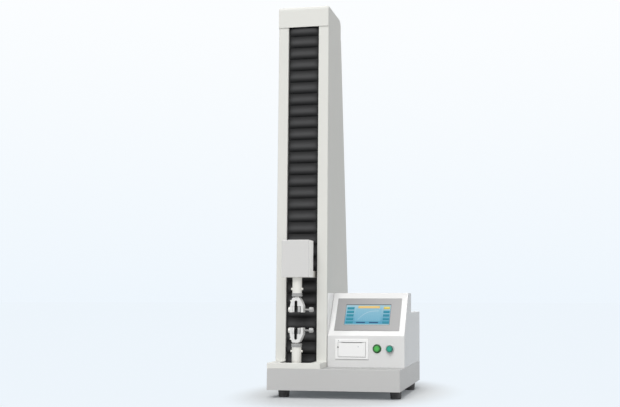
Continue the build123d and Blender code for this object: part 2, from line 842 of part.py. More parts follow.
def printer_door():
    door = block(door_span, (door_front, console_front), (door_bottom, door_top))
    foot_edges = door.edges().filter_by(Axis.X).group_by(Axis.Z)[0]
    door = fillet(foot_edges, door_foot_round)
    door -= block(about(platen_x, paper_slot_width), (door_front, console_front),
                  (door_top - paper_slot_height, door_top))
    ear_reach = (console_front, platen_y + platen_ear_overhang)
    ear_height = about(platen_z, platen_shaft_diameter + 2 * platen_ear_overhang)
    for side in (-1, 1):
        inner = platen_x + side * (platen_length / 2 + turn_clearance)
        ear = block(sorted((inner, inner + side * platen_ear_thickness)), ear_reach, ear_height)
        door += ear
    ears = platen_length + 2 * (turn_clearance + platen_ear_thickness)
    door -= round_x(about(platen_x, ears), platen_y, platen_z, platen_shaft_diameter + 2 * run_clearance)
    pin = (door_span[0] - door_pin_reach, door_span[1] + door_pin_reach)
    return door + round_x(pin, door_pivot_y, door_pivot_z, door_pin_diameter)


def platen_roller():
    shaft = about(platen_x, platen_length + 2 * (turn_clearance + platen_ear_thickness))
    roller = round_x(about(platen_x, platen_length), platen_y, platen_z, platen_diameter)
    return roller + round_x(shaft, platen_y, platen_z, platen_shaft_diameter)


def paper_roll():
    roll = round_x(about(platen_x, paper_roll_width), roll_y, roll_z, paper_roll_diameter)
    return roll - round_x(about(platen_x, paper_roll_width), roll_y, roll_z, paper_core_diameter)


def button_bezel(x):
    ring = round_y(x, (console_front - bezel_height, console_front), button_z, bezel_diameter)
    ring = fillet(ring.edges().group_by(Axis.Y)[0], edge_round)
    sleeve = round_y(x, (console_front, console_front + sleeve_length), button_z, sleeve_diameter)
    bore = (console_front - bezel_height, console_front + sleeve_length - sleeve_floor)
    return ring + sleeve - round_y(x, bore, button_z, button_diameter + 2 * button_clearance)


def push_button(x, stand_out):
    front = console_front - bezel_height - stand_out
    cap = round_y(x, (front, console_front - bezel_height + button_length), button_z, button_diameter)
    return fillet(cap.edges().group_by(Axis.Y)[0], edge_round)


def control_board():
    width, depth, thick = board_size
    x, y = base_right - board_inset_x, console_front + board_inset_y
    low = base_top + board_stand_off
    board = block(about(x, width), about(y, depth), (low, low + thick))
    for side_x in (-1, 1):
        for side_y in (-1, 1):
            post = (x + side_x * (width / 2 - board_post_inset), y + side_y * (depth / 2 - board_post_inset))
            board += round_z(*post, (base_top, low), board_post_diameter)
    chip_top = low + thick + chip_size[2]
    for step in (-1, 0, 1):
        chip_x = x + step * chip_pitch
        board += block(about(chip_x, chip_size[0]), about(y, chip_size[1]), (low + thick, chip_top))
    return board


def power_supply():
    width, depth, height = supply_size
    x, y = base_right - supply_inset_x, base_rear - supply_inset_y
    case = block(about(x, width), about(y, depth), (base_top, base_top + height))
    return fillet(case.edges().group_by(Axis.Z)[-1], edge_round)


socket_x = inlet_x - inlet_width / 2 + 2 * inlet_lip + socket_width / 2
rocker_x = inlet_x + inlet_width / 2 - 2 * inlet_lip - rocker_width
rocker_y = base_rear - rocker_depth / 2


def mains_inlet():
    inward = 2 * (inlet_lip + seat_clearance)
    body = block(about(inlet_x, inlet_width - inward), (base_rear - inlet_depth, base_rear),
                 about(inlet_z, inlet_height - inward))
    body += block(about(inlet_x, inlet_width), (base_rear - sheet - inlet_lip, base_rear - sheet),
                  about(inlet_z, inlet_height))
    floor = base_rear - socket_depth
    body -= block(about(socket_x, socket_width), (floor, base_rear), about(inlet_z, socket_height))
    for step in (-1, 0, 1):
        pin_width = about(socket_x + step * socket_pin_pitch, socket_pin)
        body += block(pin_width, (floor, floor + socket_pin_length), about(inlet_z, socket_pin_height))
    room = 2 * seat_clearance
    body -= block(about(rocker_x, rocker_width + room), (base_rear - rocker_depth - sheet, base_rear),
                  about(inlet_z, rocker_height + room))
    pin = about(rocker_x, rocker_width + room + 2 * door_pin_reach)
    return body - round_x(pin, rocker_y, inlet_z, rocker_pin_diameter + 2 * run_clearance)


def power_rocker():
    rise = rocker_height / 2 * tan(radians(rocker_tilt))
    half = rocker_height / 2 - seat_clearance
    crown = base_rear - 2 * rise
    points = [(rocker_y, inlet_z - half), (rocker_y, inlet_z + half),
              (crown + rise, inlet_z + half), (crown, inlet_z), (crown + rise, inlet_z - half)]
    rocker = side_shape(points, about(rocker_x, rocker_width))
    pin = about(rocker_x, rocker_width + 2 * seat_clearance + 2 * door_pin_reach - turn_clearance)
    return rocker + round_x(pin, rocker_y, inlet_z, rocker_pin_diameter)


def cover_screw(x, y):
    head_top = rear_box_top + cover_screw_head_height
    head = round_z(x, y, (rear_box_top, head_top), cover_screw_head_diameter)
    head = fillet(head.edges().group_by(Axis.Z)[-1], edge_round)
    return head + round_z(x, y, (rear_box_top - cover_screw_length, rear_box_top), cover_screw_diameter)


left_panel = column_left_panel()
block_levels = (arm_bottom + block_end_margin, carriage_top - block_end_margin - block_length)
ridge_level = column_top - pleat_pitch / 4
switch_levels = (arm_bottom - limit_switch_margin, spine_top - limit_switch_margin)

nodes = {
    "base_housing": base_housing(),
    "base_bottom_plate": base_bottom_plate(),
    "base_plate": base_plate(),
    "front_platform": front_platform(),
    "rubber_feet": Compound([rubber_foot(*place) for place in foot_places]),
    "foot_screws": Compound([foot_screw(*place) for place in foot_places]),
    "column_left_panel": left_panel,
    "column_right_panel": mirror(left_panel, Plane.YZ.offset(column_axis)),
    "column_rear_cover": column_rear_cover(),
    "column_top_cap": column_top_cap(),
    "column_spine": column_spine(),
    "guide_rails": Compound([guide_rail(side) for side in (-1, 1)]),
    "lower_screw_bearing": lower_screw_bearing(),
    "upper_screw_bearing": upper_screw_bearing(),
    "ball_screw": ball_screw(),
    "screw_pulley": screw_pulley(),
    "motor_pulley": motor_pulley(),
    "drive_motor": drive_motor(),
    "timing_belt": timing_belt(),
    "limit_switches": Compound([limit_switch(z) for z in switch_levels]),
    "carriage_plate": carriage_plate(),
    "bearing_blocks": Compound([bearing_block(side, low) for side in (-1, 1) for low in block_levels]),
    "nut_bracket": nut_bracket(),
    "ball_nut": ball_nut(),
    "crosshead_arm": crosshead_arm(),
    "load_cell": load_cell(),
    "load_cell_cover": load_cell_cover(),
    "upper_bellows": bellows(arm_top + seat_clearance, spine_top, ridge_level),
    "lower_bellows": bellows(base_top, arm_bottom - seat_clearance, ridge_level),
    "console_housing": console_housing(),
    "screen_overlay": screen_overlay(),
    "touch_screen": touch_screen(),
    "printer_housing": printer_housing(),
    "printer_door": printer_door(),
    "platen_roller": platen_roller(),
    "paper_roll": paper_roll(),
    "button_bezels": Compound([button_bezel(x) for x in (start_x, stop_x)]),
    "start_button": push_button(start_x, start_stand_out),
    "stop_button": push_button(stop_x, stop_stand_out),
    "control_board": control_board(),
    "power_supply": power_supply(),
    "mains_inlet": mains_inlet(),
    "power_rocker": power_rocker(),
    "cover_screws": Compound([cover_screw(*place) for place in cover_screw_places()]),
}
grips = (("upper", upper_jaw_end, 1, arm_top), ("lower", lower_jaw_end, -1, pad_top))
for name, jaw_end, up, far_end in grips:
    nodes[f"{name}_grip_body"] = grip_body(jaw_end, up)
    nodes[f"{name}_fixed_jaw"] = fixed_jaw(jaw_end, up)
    nodes[f"{name}_jaw_bolt"] = jaw_bolt(jaw_end, up)
    nodes[f"{name}_moving_jaw"] = moving_jaw(jaw_end, up)
    nodes[f"{name}_clamp_screw"] = clamp_screw(jaw_end, up)
    nodes[f"{name}_lock_ring"] = lock_ring(jaw_end, up)
    nodes[f"{name}_rod"] = grip_rod(jaw_end, up, far_end)
    nodes[f"{name}_cross_pin"] = cross_pin(jaw_end, up)

os.makedirs("parts", exist_ok=True)
for name, part in nodes.items():
    export_step(part, f"parts/{name}.step")
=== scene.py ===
"""Looks of a single-column testing machine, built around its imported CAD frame.

Laid out as an add-on and run as a script. Lengths are metres in the CAD frame: X right, Y back, Z up.
"""
import json
from math import asin, atan2, cos, pi, radians, sin, tau

import bmesh
import bpy
from bpy.props import FloatProperty, FloatVectorProperty, IntProperty, PointerProperty
from mathutils import Matrix, Vector

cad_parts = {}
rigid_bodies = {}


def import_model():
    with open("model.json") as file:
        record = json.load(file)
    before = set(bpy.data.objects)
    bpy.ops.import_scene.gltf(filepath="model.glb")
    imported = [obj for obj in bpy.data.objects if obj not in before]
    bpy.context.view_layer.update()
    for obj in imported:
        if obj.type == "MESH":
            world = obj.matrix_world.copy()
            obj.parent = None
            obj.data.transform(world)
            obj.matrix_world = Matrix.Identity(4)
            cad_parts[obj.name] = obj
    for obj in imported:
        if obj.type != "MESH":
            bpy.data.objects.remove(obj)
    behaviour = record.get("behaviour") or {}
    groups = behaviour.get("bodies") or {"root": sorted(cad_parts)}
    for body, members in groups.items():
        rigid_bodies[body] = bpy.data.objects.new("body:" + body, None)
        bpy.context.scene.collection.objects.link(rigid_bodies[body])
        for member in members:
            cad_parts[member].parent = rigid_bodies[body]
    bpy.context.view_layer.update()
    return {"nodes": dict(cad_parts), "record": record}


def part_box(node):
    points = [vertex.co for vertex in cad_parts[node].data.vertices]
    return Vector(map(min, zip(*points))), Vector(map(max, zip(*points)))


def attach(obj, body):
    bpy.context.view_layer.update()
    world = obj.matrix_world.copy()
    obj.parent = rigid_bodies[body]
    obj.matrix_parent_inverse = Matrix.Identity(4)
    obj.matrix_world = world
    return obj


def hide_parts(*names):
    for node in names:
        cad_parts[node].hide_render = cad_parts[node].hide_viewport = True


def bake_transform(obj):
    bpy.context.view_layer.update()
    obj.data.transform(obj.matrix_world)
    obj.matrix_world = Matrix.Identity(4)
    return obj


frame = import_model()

bl_info = {
    "name": "Testing machine looks",
    "version": (1, 0, 0),
    "blender": (4, 5, 0),
    "location": "View3D > Sidebar > Tester",
    "description": "Gives a packed testing machine its finishes and fine pieces",
    "category": "Object",
}

MM = 0.001
FRONT = (0, -1, 0)
# Each grip with the body that carries it.
GRIPS = (("upper", "crosshead"), ("lower", "frame"))
# Emission strength of the screen and the button lenses.
GLOW = 0.12
# How far behind a face the painted light or shade of its side or top starts.
FACE_SKIN = 0.3 * MM


def colour(name, description, default):
    """A colour setting."""
    return FloatVectorProperty(name=name, description=description, default=default, subtype="COLOR",
                               min=0, max=1)


def length(name, description, default):
    """A length setting, in metres."""
    return FloatProperty(name=name, description=description, default=default, unit="LENGTH", precision=5,
                         min=0)


def power(name, description, default):
    """The strength of a lamp or of the sky."""
    return FloatProperty(name=name, description=description, default=default, min=0)


def centre(node):
    """The middle of a CAD node's box."""
    low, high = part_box(node)
    return (low + high) / 2


class TesterPaint(bpy.types.PropertyGroup):
    """Colours of the machine's finishes."""

    cream: colour("Column paint", "Warm off-white of the column and the platform", (0.762, 0.762, 0.724))
    white: colour("Console paint", "White of the console housing", (0.735, 0.735, 0.73))
    grey: colour("Base paint", "Mid grey of the base housing", (0.535, 0.535, 0.53))
    cover: colour("Crosshead paint", "Cool light grey of the load-cell cover", (0.67, 0.665, 0.655))
    rubber: colour("Rubber", "Black of the feet, the platen and the belt", (0.056, 0.056, 0.057))
    bellows: colour("Bellows", "Black of the coated pleats", (0.036, 0.036, 0.037))
    steel: colour("Rod steel", "Plated steel of the rods", (0.86, 0.843, 0.795))
    grip: colour("Grip steel", "Plated steel of the grips, their knobs and lock rings", (0.80, 0.792, 0.779))
    film: colour("Screen overlay", "Grey of the printed film round the screen", (0.30, 0.297, 0.297))
    plastic: colour("Printer plastic", "White of the printer's frame and door", (0.92, 0.92, 0.915))
    green: colour("Start lens", "Green of the start button", (0.055, 0.38, 0.058))
    teal: colour("Stop lens", "Teal of the stop button", (0.006, 0.29, 0.20))


class TesterSizes(bpy.types.PropertyGroup):
    """Sizes of the fine pieces."""

    pleat_pitch: length("Pleat pitch", "Height of one rib of the bellows", 41.36 * MM)
    pleat_depth: length("Pleat depth", "Depth of the creases between two ribs", 7 * MM)
    pleat_skin: length("Pleat skin", "Thickness of the bellows' coated cloth", 1.2 * MM)
    tooth_pitch: length("Tooth pitch", "Spacing of the points on the jaw faces", 1.5 * MM)
    knurl_pitch: length("Knurl pitch", "Spacing of the diamonds on the knobs and lock rings", 1.6 * MM)
    clamp_pitch: length("Clamp thread", "Pitch of the clamp screws' thread", 1.5 * MM)
    screw_lead: length("Ball screw lead", "Lead of the ball screw's groove", 10 * MM)
    rear_screws: IntProperty(name="Rear screws", description="Screws down each side of the rear cover",
                             default=6, min=2, max=20)


class TesterStage(bpy.types.PropertyGroup):
    """Camera, lamps and background."""

    eye: FloatVectorProperty(name="Camera place", description="Where the camera stands", unit="LENGTH",
                             default=(0.6981, -3.1117, 0.3326))
    pan: FloatProperty(name="Pan", description="Turn of the camera to the left", subtype="ANGLE",
                       default=radians(10.097))
    tilt: FloatProperty(name="Tilt", description="Upward tilt of the camera", subtype="ANGLE",
                        default=radians(5.334))
    lens: FloatProperty(name="Lens", description="Focal length in millimetres", default=51.55, min=1)
    shift: FloatVectorProperty(name="Shift", description="Sideways and upward shift of the picture", size=2,
                               default=(-0.1253, 0.0185))
    sky: power("Sky", "Strength of the even light from all round", 0.50)
    key: power("Key lamp", "Strength of the main lamp", 1.85)
    fill: power("Fill lamp", "Strength of the lamp on the right", 0.17)
    back: power("Back lamp", "Strength of the lamp behind", 0.90)
    backdrop: colour("Backdrop", "Pale blue of the background at the level of the eye", (0.86, 0.925, 0.985))
    floor: colour("Floor", "Colour of the floor round the machine", (0.61, 0.625, 0.632))


def sum_of(operation, swapped=False):
    """A method that adds a Math node with two inputs, the other value first if they are swapped."""
    def method(self, other):
        return self.maths(operation, *((other, self) if swapped else (self, other)))
    return method


class Wire:
    """An output socket that takes part in sums: each operator adds a Math node to its tree."""

    def __init__(self, tree, socket):
        self.tree = tree
        self.socket = socket

    def maths(self, operation, *values):
        """A Math node."""
        return self.tree.add("ShaderNodeMath", dict(enumerate(values)), operation=operation)

    __add__, __radd__ = sum_of("ADD"), sum_of("ADD", True)
    __sub__, __rsub__ = sum_of("SUBTRACT"), sum_of("SUBTRACT", True)
    __mul__, __rmul__ = sum_of("MULTIPLY"), sum_of("MULTIPLY", True)
    __truediv__, __rtruediv__ = sum_of("DIVIDE"), sum_of("DIVIDE", True)
    __pow__, __mod__ = sum_of("POWER"), sum_of("FLOORED_MODULO")
    __gt__, __lt__ = sum_of("GREATER_THAN"), sum_of("LESS_THAN")

    def __abs__(self):
        return self.maths("ABSOLUTE", self)

    def call(self, operation):
        """A Math node with one input, such as SINE or FLOOR."""
        return self.maths(operation, self)

    def part(self, output):
        """Another output of the same node."""
        return Wire(self.tree, self.socket.node.outputs[output])


class Nodes:
    """Adds nodes to one tree."""

    def __init__(self, tree):
        self.tree = tree

    def add(self, kind, sockets=None, output=0, **settings):
        """A new node with its settings, and values or links for its sockets. Gives one of its outputs."""
        made = self.tree.nodes.new(kind)
        for name, value in settings.items():
            setattr(made, name, value)
        for name, value in (sockets or {}).items():
            target = made.inputs[name]
            if isinstance(value, Wire):
                self.tree.links.new(value.socket, target)
            else:
                target.default_value = value
        return Wire(self, made.outputs[output]) if made.outputs else None

    def vector(self, operation, *values, output=0):
        """A Vector Math node."""
        return self.add("ShaderNodeVectorMath", dict(enumerate(values)), output, operation=operation)

    def axes(self, vector):
        """The X of a vector, whose other parts are Y and Z."""
        return self.add("ShaderNodeSeparateXYZ", {"Vector": vector})

    def mix(self, share, first, second):
        """A colour between two colours."""
        pair = [one if isinstance(one, Wire) else (*one, 1) for one in (first, second)]
        return self.add("ShaderNodeMix", {0: share, 6: pair[0], 7: pair[1]}, output=2, data_type="RGBA")


class Finish(Nodes):
    """A material with Object coordinates and the patterns that several finishes share."""

    def __init__(self, name):
        self.material = bpy.data.materials.new(name)
        self.material.use_nodes = True
        super().__init__(self.material.node_tree)
        self.tree.nodes.clear()
        self.place = self.add("ShaderNodeTexCoord", output="Object")

    def noise(self, scale, detail, stretch=(1, 1, 1)):
        """Noise of so many waves a metre, 0 to 1, drawn out along an axis by a smaller stretch."""
        where = self.add("ShaderNodeMapping", {"Vector": self.place, "Scale": stretch}, vector_type="POINT")
        return self.add("ShaderNodeTexNoise", {"Vector": where, "Scale": scale, "Detail": detail})

    def inside(self, low, high):
        """1 inside a box of the frame, 0 outside."""
        axes = self.axes(self.place)
        share = 1.0
        for axis, least, most in zip("XYZ", low, high):
            share = share * (axes.part(axis) > least) * (axes.part(axis) < most)
        return share

    def close(self, tone, rough, relief=None, more=None):
        """Ends the material in one Principled shader. A relief is a height, its depth and its strength."""
        sockets = {"Base Color": tone, "Roughness": rough, **(more or {})}
        if relief:
            labels = ("Height", "Distance", "Strength")
            sockets["Normal"] = self.add("ShaderNodeBump", dict(zip(labels, relief)))
        shader = self.add("ShaderNodeBsdfPrincipled", sockets)
        self.add("ShaderNodeOutputMaterial", {"Surface": shader})
        return self.material


def shade(rgb, factor):
    """A colour made lighter or darker."""
    return tuple(min(1.0, channel * factor) for channel in rgb)


def powder_coat(name, rgb, rough, grain=1400.0, coat=0.0, sides=None, top=None):
    """Baked powder paint: an orange-peel skin, faint clouding and a few darker specks.

    Faces to the left and right may take painted light or shade: the axis, the reach to each side, the
    factor.
    So may what lies above a level: the level, the factor.
    """
    finish = Finish(name)
    peel = finish.noise(grain, 2)
    cloud = finish.noise(4.0, 3)
    speck = finish.noise(2600.0, 1) > 0.72
    tone = finish.mix(cloud, shade(rgb, 0.975), shade(rgb, 1.02))
    tone = finish.mix(speck * 0.18, tone, shade(rgb, 0.86))
    # Painted light or shade on the faces to the left and right.
    if sides:
        axis, reach, factor = sides
        tone = finish.mix(abs(finish.axes(finish.place) - axis) > reach, tone, shade(rgb, factor))
    # Painted light or shade on what lies above the level.
    if top:
        level, factor = top
        tone = finish.mix(finish.axes(finish.place).part("Z") > level, tone, shade(rgb, factor))
    rubbed = finish.noise(28.0, 3, (1, 1, 0.35))
    return finish.close(tone, rough + 0.10 * cloud + 0.08 * (rubbed - 0.5), (peel, 0.05 * MM, 0.35),
                        {"Coat Weight": coat})


def worked_steel(name, rgb, rough, lay, brush=900.0, metal=1.0, dark=None):
    """Plated steel with fine tool marks across one axis, and painted shade, near black, inside a box if one
    is given.
    """
    finish = Finish(name)
    marks = finish.noise(brush, 2, lay)
    cloud = finish.noise(35.0, 3)
    tone = finish.mix(cloud, shade(rgb, 0.93), shade(rgb, 1.03))
    tone = finish.mix(marks * 0.35, tone, shade(rgb, 0.80))
    # Painted shade: near black inside the box.
    if dark:
        tone = finish.mix(finish.inside(*dark), tone, shade(rgb, 0.06))
    return finish.close(tone, rough + 0.14 * marks + 0.08 * cloud, (marks, 0.02 * MM, 0.5),
                        {"Metallic": metal})


def matt_rubber(name, rgb):
    """Moulded rubber with a fine grain and a dusty bloom."""
    finish = Finish(name)
    grain = finish.noise(1800.0, 3)
    bloom = finish.noise(45.0, 4)
    tone = finish.mix(bloom, rgb, shade(rgb, 2.1))
    return finish.close(tone, 0.62 + 0.2 * bloom, (grain, 0.06 * MM, 0.6))


def pleat_cloth(name, rgb):
    """Rubber-coated cloth: a fine weave under the coat, with painted light on the ribs and painted shade in
    the creases between them.
    """
    finish = Finish(name)
    worn = finish.add("ShaderNodeAttribute", output="Fac", attribute_name="worn")
    axes, thread = finish.axes(finish.place), tau / (1.1 * MM)
    weave = (axes * thread).call("SINE") * (axes.part("Z") * thread).call("SINE")
    wear = finish.noise(60.0, 4, (0.15, 1, 1))
    # Painted light on the ribs and painted shade in the creases, from the stored shading.
    tone = finish.mix(worn * (0.85 + 0.3 * wear), shade(rgb, 0.40), shade(rgb, 2.45))
    return finish.close(tone, 0.58 + 0.16 * wear, (weave + 0.6 * wear, 0.06 * MM, 0.6),
                        {"Specular IOR Level": 0.15})


def moulded_plastic(name, rgb, rough=0.38):
    """Injection-moulded plastic with a spark-eroded texture."""
    finish = Finish(name)
    texture = finish.noise(2400.0, 2)
    cloud = finish.noise(14.0, 3)
    tone = finish.mix(cloud, shade(rgb, 0.965), shade(rgb, 1.015))
    return finish.close(tone, rough + 0.12 * cloud, (texture, 0.03 * MM, 0.4))


def printed_film(name, rgb):
    """A grey printed film with a velvet texture, a little paler to the right."""
    finish = Finish(name)
    texture = finish.noise(3200.0, 2)
    low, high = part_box("screen_overlay")
    across = (finish.axes(finish.place) - low.x) / (high.x - low.x)
    tone = finish.mix(across, shade(rgb, 0.92), shade(rgb, 1.32))
    tone = finish.mix(texture * 0.25, tone, shade(rgb, 0.85))
    return finish.close(tone, 0.42 + 0.12 * texture, (texture, 0.02 * MM, 0.5))


def button_lens(name, rgb, middle, radius):
    """A button cap, lighter in the middle and darker towards its rim as painted highlight and shade, glowing
    faintly in its own colour.
    """
    finish = Finish(name)
    flat = finish.vector("MULTIPLY", finish.vector("SUBTRACT", finish.place, tuple(middle)), (1, 0, 1))
    out = finish.vector("LENGTH", flat, output="Value") / radius
    grain = finish.noise(900.0, 2)
    # Painted highlight in the middle and painted shade towards the rim.
    tone = finish.mix((out * out) * (0.85 + 0.3 * grain), shade(rgb, 1.25), shade(rgb, 0.42))
    # Both caps glow faintly; on the stop button, which has no lamp, the glow is painted light.
    return finish.close(tone, 0.16 + 0.1 * grain, more={
        "Coat Weight": 0.2 + 0.1 * grain, "Emission Color": tone, "Emission Strength": GLOW})


def circuit_board(name, rgb):
    """Solder mask with a grid of tracks."""
    finish = Finish(name)
    axes, pitch, rows = finish.axes(finish.place), 4 * MM, 160.0
    tracks = ((axes * (tau / pitch)).call("SINE") > 0.7) * ((axes.part("Y") * rows).call("SINE") > -0.4)
    tone = finish.mix(tracks, rgb, shade(rgb, 2.0))
    return finish.close(tone, 0.35 + 0.1 * tracks, (tracks, 0.04 * MM, 0.6))


def wound_paper(name, rgb):
    """A paper roll: fine rings on its ends, soft fibres round it."""
    finish = Finish(name)
    fibre = finish.noise(1500.0, 3, (0.2, 1, 1))
    rings = finish.noise(700.0, 1, (0.05, 1, 1))
    tone = finish.mix(fibre * 0.5 + rings * 0.3, rgb, shade(rgb, 0.88))
    return finish.close(tone, 0.7 + 0.15 * fibre, (fibre, 0.03 * MM, 0.5))


def screen_picture(name):
    """A plain measuring page: side keys, a heading bar, a load curve on a grid and two keys below."""
    finish = Finish(name)
    u = finish.axes(finish.add("ShaderNodeUVMap", uv_map="UVMap"))
    v = u.part("Y")
    tone = finish.mix(v, (0.04, 0.34, 0.53), (0.40, 0.64, 0.74))

    def area(left, low, right, high):
        return (u > left) * (u < right) * (v > low) * (v < high)

    def lay(mask, rgb):
        nonlocal tone
        tone = finish.mix(mask, tone, rgb)

    lay(area(0.22, 0.17, 0.80, 0.80) * 0.6, (0.20, 0.50, 0.66))
    grid = ((u * 24.0) % 1.0 < 0.06) + ((v * 14.0) % 1.0 < 0.07)
    lay(grid * area(0.27, 0.20, 0.78, 0.78) * 0.35, (0.45, 0.72, 0.80))
    run = (u - 0.29) / 0.45
    curve = 0.24 + 0.44 * (1 - (1 - run) ** 3.0)
    lay((abs(v - curve) < 0.014) * area(0.29, 0.20, 0.74, 0.78) * 0.45, (0.70, 0.80, 0.86))
    lay(area(0.27, 0.81, 0.755, 0.93), (0.80, 0.53, 0.16))
    lay(area(0.29, 0.84, 0.735, 0.90), (0.90, 0.66, 0.27))
    first, step, tall, inset = 0.045, 0.175, 0.125, 0.010
    for left, right, count, deep, pale in ((0.025, 0.185, 5, (0.015, 0.26, 0.36), (0.04, 0.36, 0.46)),
                                           (0.845, 0.985, 4, (0.015, 0.25, 0.36), (0.04, 0.34, 0.46))):
        for row in range(count):
            low = first + step * row
            high = low + tall
            lay(area(left, low, right, high), deep)
            lay(area(left + inset, high - 0.055, right - inset, high - inset), pale)
    lay(area(0.845, 0.765, 0.985, 0.895), (0.70, 0.55, 0.10))
    lay(area(0.858, 0.825, 0.972, 0.880), (0.86, 0.74, 0.22))
    for left in (0.26, 0.55):
        lay(area(left, 0.075, left + 0.20, 0.135), (0.008, 0.09, 0.21))
    lay(v < 0.035, (0.40, 0.66, 0.74))
    lay(v > 0.965, (0.16, 0.22, 0.25))
    tone = finish.mix(0.27, tone, (0.06, 0.025, 0.025))
    smear = finish.noise(22.0, 4)
    return finish.close(tone, 0.45 + 0.12 * smear, more={
        "Specular IOR Level": 0.12, "Emission Color": tone, "Emission Strength": GLOW})


def flanks(*nodes):
    """The axis between the outer sides of some nodes, and the reach to just inside them."""
    low = min(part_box(node)[0].x for node in nodes)
    high = max(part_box(node)[1].x for node in nodes)
    return (low + high) / 2, (high - low) / 2 - FACE_SKIN


def throat_box():
    """The box round the throats of both grips, behind their front faces, that gets painted shade."""
    low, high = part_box("lower_grip_body")[0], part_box("upper_grip_body")[1]
    left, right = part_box("upper_fixed_jaw")[1].x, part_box("upper_moving_jaw")[0].x
    margin, neck = 1.2 * MM, 9.5 * MM
    return (left - margin, low.y + margin, low.z + neck), (right + margin, high.y - margin, high.z - neck)


def machine_finishes(paint):
    """One material for each slot of the record, and a few for single pieces."""
    start, stop = centre("start_button"), centre("stop_button")
    lens_radius = (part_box("start_button")[1].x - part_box("start_button")[0].x) / 2
    # Side faces painted darker on the column, console and base and lighter on the cover, and the base's top
    # painted darker: painted shade and painted light.
    column_side_shade = (*flanks("column_left_panel", "column_right_panel"), 0.765)
    cover_side_light = (*flanks("load_cell_cover"), 1.5)
    console_side_shade = (*flanks("console_housing"), 0.75)
    base_side_shade = (*flanks("base_housing"), 0.95)
    throat = throat_box()
    base_top_shade = (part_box("base_housing")[1].z - FACE_SKIN, 0.80)
    return {
        "grey_paint": powder_coat("base_grey_paint", paint.grey, 0.42, sides=base_side_shade, top=base_top_shade),
        "cream_paint": powder_coat("column_cream_paint", paint.cream, 0.40, sides=column_side_shade),
        "white_paint": powder_coat("console_white_paint", paint.white, 0.38, coat=0.35, sides=console_side_shade),
        "cover_paint": powder_coat("cover_grey_paint", paint.cover, 0.36, coat=0.8, sides=cover_side_light),
        "black_rubber": matt_rubber("foot_rubber", paint.rubber),
        "bellows_rubber": pleat_cloth("bellows_cloth", paint.bellows),
        "black_steel": worked_steel("black_oxide_steel", (0.035, 0.036, 0.038), 0.42, (1, 1, 1), 500.0),
        "grip_steel": worked_steel("plated_grip_steel", paint.steel, 0.36, (1, 1, 30), metal=0.25),
        "bright_steel": worked_steel("ground_steel", (0.66, 0.66, 0.655), 0.18, (1, 1, 40)),
        "cast_aluminium": worked_steel("anodised_aluminium", (0.68, 0.69, 0.70), 0.40, (1, 1, 0.1), 700.0),
        "motor_black": powder_coat("motor_enamel", (0.03, 0.03, 0.033), 0.45, 900.0),
        "overlay_film": printed_film("screen_overlay_film", paint.film),
        "screen_glass": moulded_plastic("screen_module_black", (0.02, 0.022, 0.025), 0.30),
        "printer_plastic": moulded_plastic("printer_white_plastic", paint.plastic),
        "bezel_metal": worked_steel("brushed_bezel", (0.56, 0.56, 0.555), 0.46, (1, 1, 1), 600.0, metal=0.6),
        "green_lens": button_lens("start_green_lens", paint.green, start, lens_radius),
        "teal_lens": button_lens("stop_teal_lens", paint.teal, stop, lens_radius),
        "black_plastic": moulded_plastic("inlet_black_plastic", (0.022, 0.022, 0.024), 0.42),
        "board_green": circuit_board("control_board_green", (0.02, 0.12, 0.05)),
        "paper_white": wound_paper("roll_paper", (0.82, 0.82, 0.80)),
        "zinc_steel": worked_steel("zinc_plate", (0.60, 0.61, 0.62), 0.32, (1, 1, 1), 400.0),
        # Grip and jaw steel with painted shade, near black, in the grips' throats.
        "throat_steel": worked_steel("blackened_throat_steel", paint.grip, 0.36, (1, 1, 30), metal=0.25,
                                     dark=throat),
        "jaw_steel": worked_steel("jaw_face_steel", shade(paint.grip, 0.64), 0.36, (1, 1, 30), metal=0.4,
                                  dark=throat),
        "platform_paint": powder_coat("platform_cream_paint", paint.cream, 0.40),
        # The cheek's paint is brighter than the console's: painted light.
        "cheek_lightened": powder_coat("cheek_white_paint", shade(paint.white, 1.28), 0.38),
        "start_ring": moulded_plastic("start_ring_plastic", (0.022, 0.10, 0.027), 0.42),
        # A grey strip in the printer door's gap: painted shade.
        "gap_shade_grey": matt_rubber("door_seal_rubber", (0.10, 0.10, 0.10)),
        "ring_steel": worked_steel("lock_ring_steel", shade(paint.grip, 0.57), 0.34, (1, 1, 30), metal=0.5),
        "screen_picture": screen_picture("screen_page"),
    }


# Materials by slot or single piece, made by the first operator.
finishes = {}


def along(axis, origin):
    """A matrix that turns local Z onto an axis of the frame and moves it to an origin."""
    return Matrix.Translation(origin) @ Vector(axis).to_track_quat("Z", "Y").to_matrix().to_4x4()


def lathe(profile, steps):
    """A turned shape from (radius, height) points that start and end on the axis, or at one place off it."""
    shape = bmesh.new()
    rings = []
    for radius, height in profile:
        count = steps if radius > 0 else 1
        rings.append([shape.verts.new((radius * cos(tau * i / steps), radius * sin(tau * i / steps), height))
                      for i in range(count)])
    for lower, upper in zip(rings, rings[1:]):
        for i in range(steps):
            corners = [lower[i % len(lower)], lower[(i + 1) % len(lower)],
                       upper[(i + 1) % len(upper)], upper[i % len(upper)]]
            unique = list(dict.fromkeys(corners))
            if len(unique) > 2:
                shape.faces.new(unique)
    bmesh.ops.recalc_face_normals(shape, faces=shape.faces)
    return shape


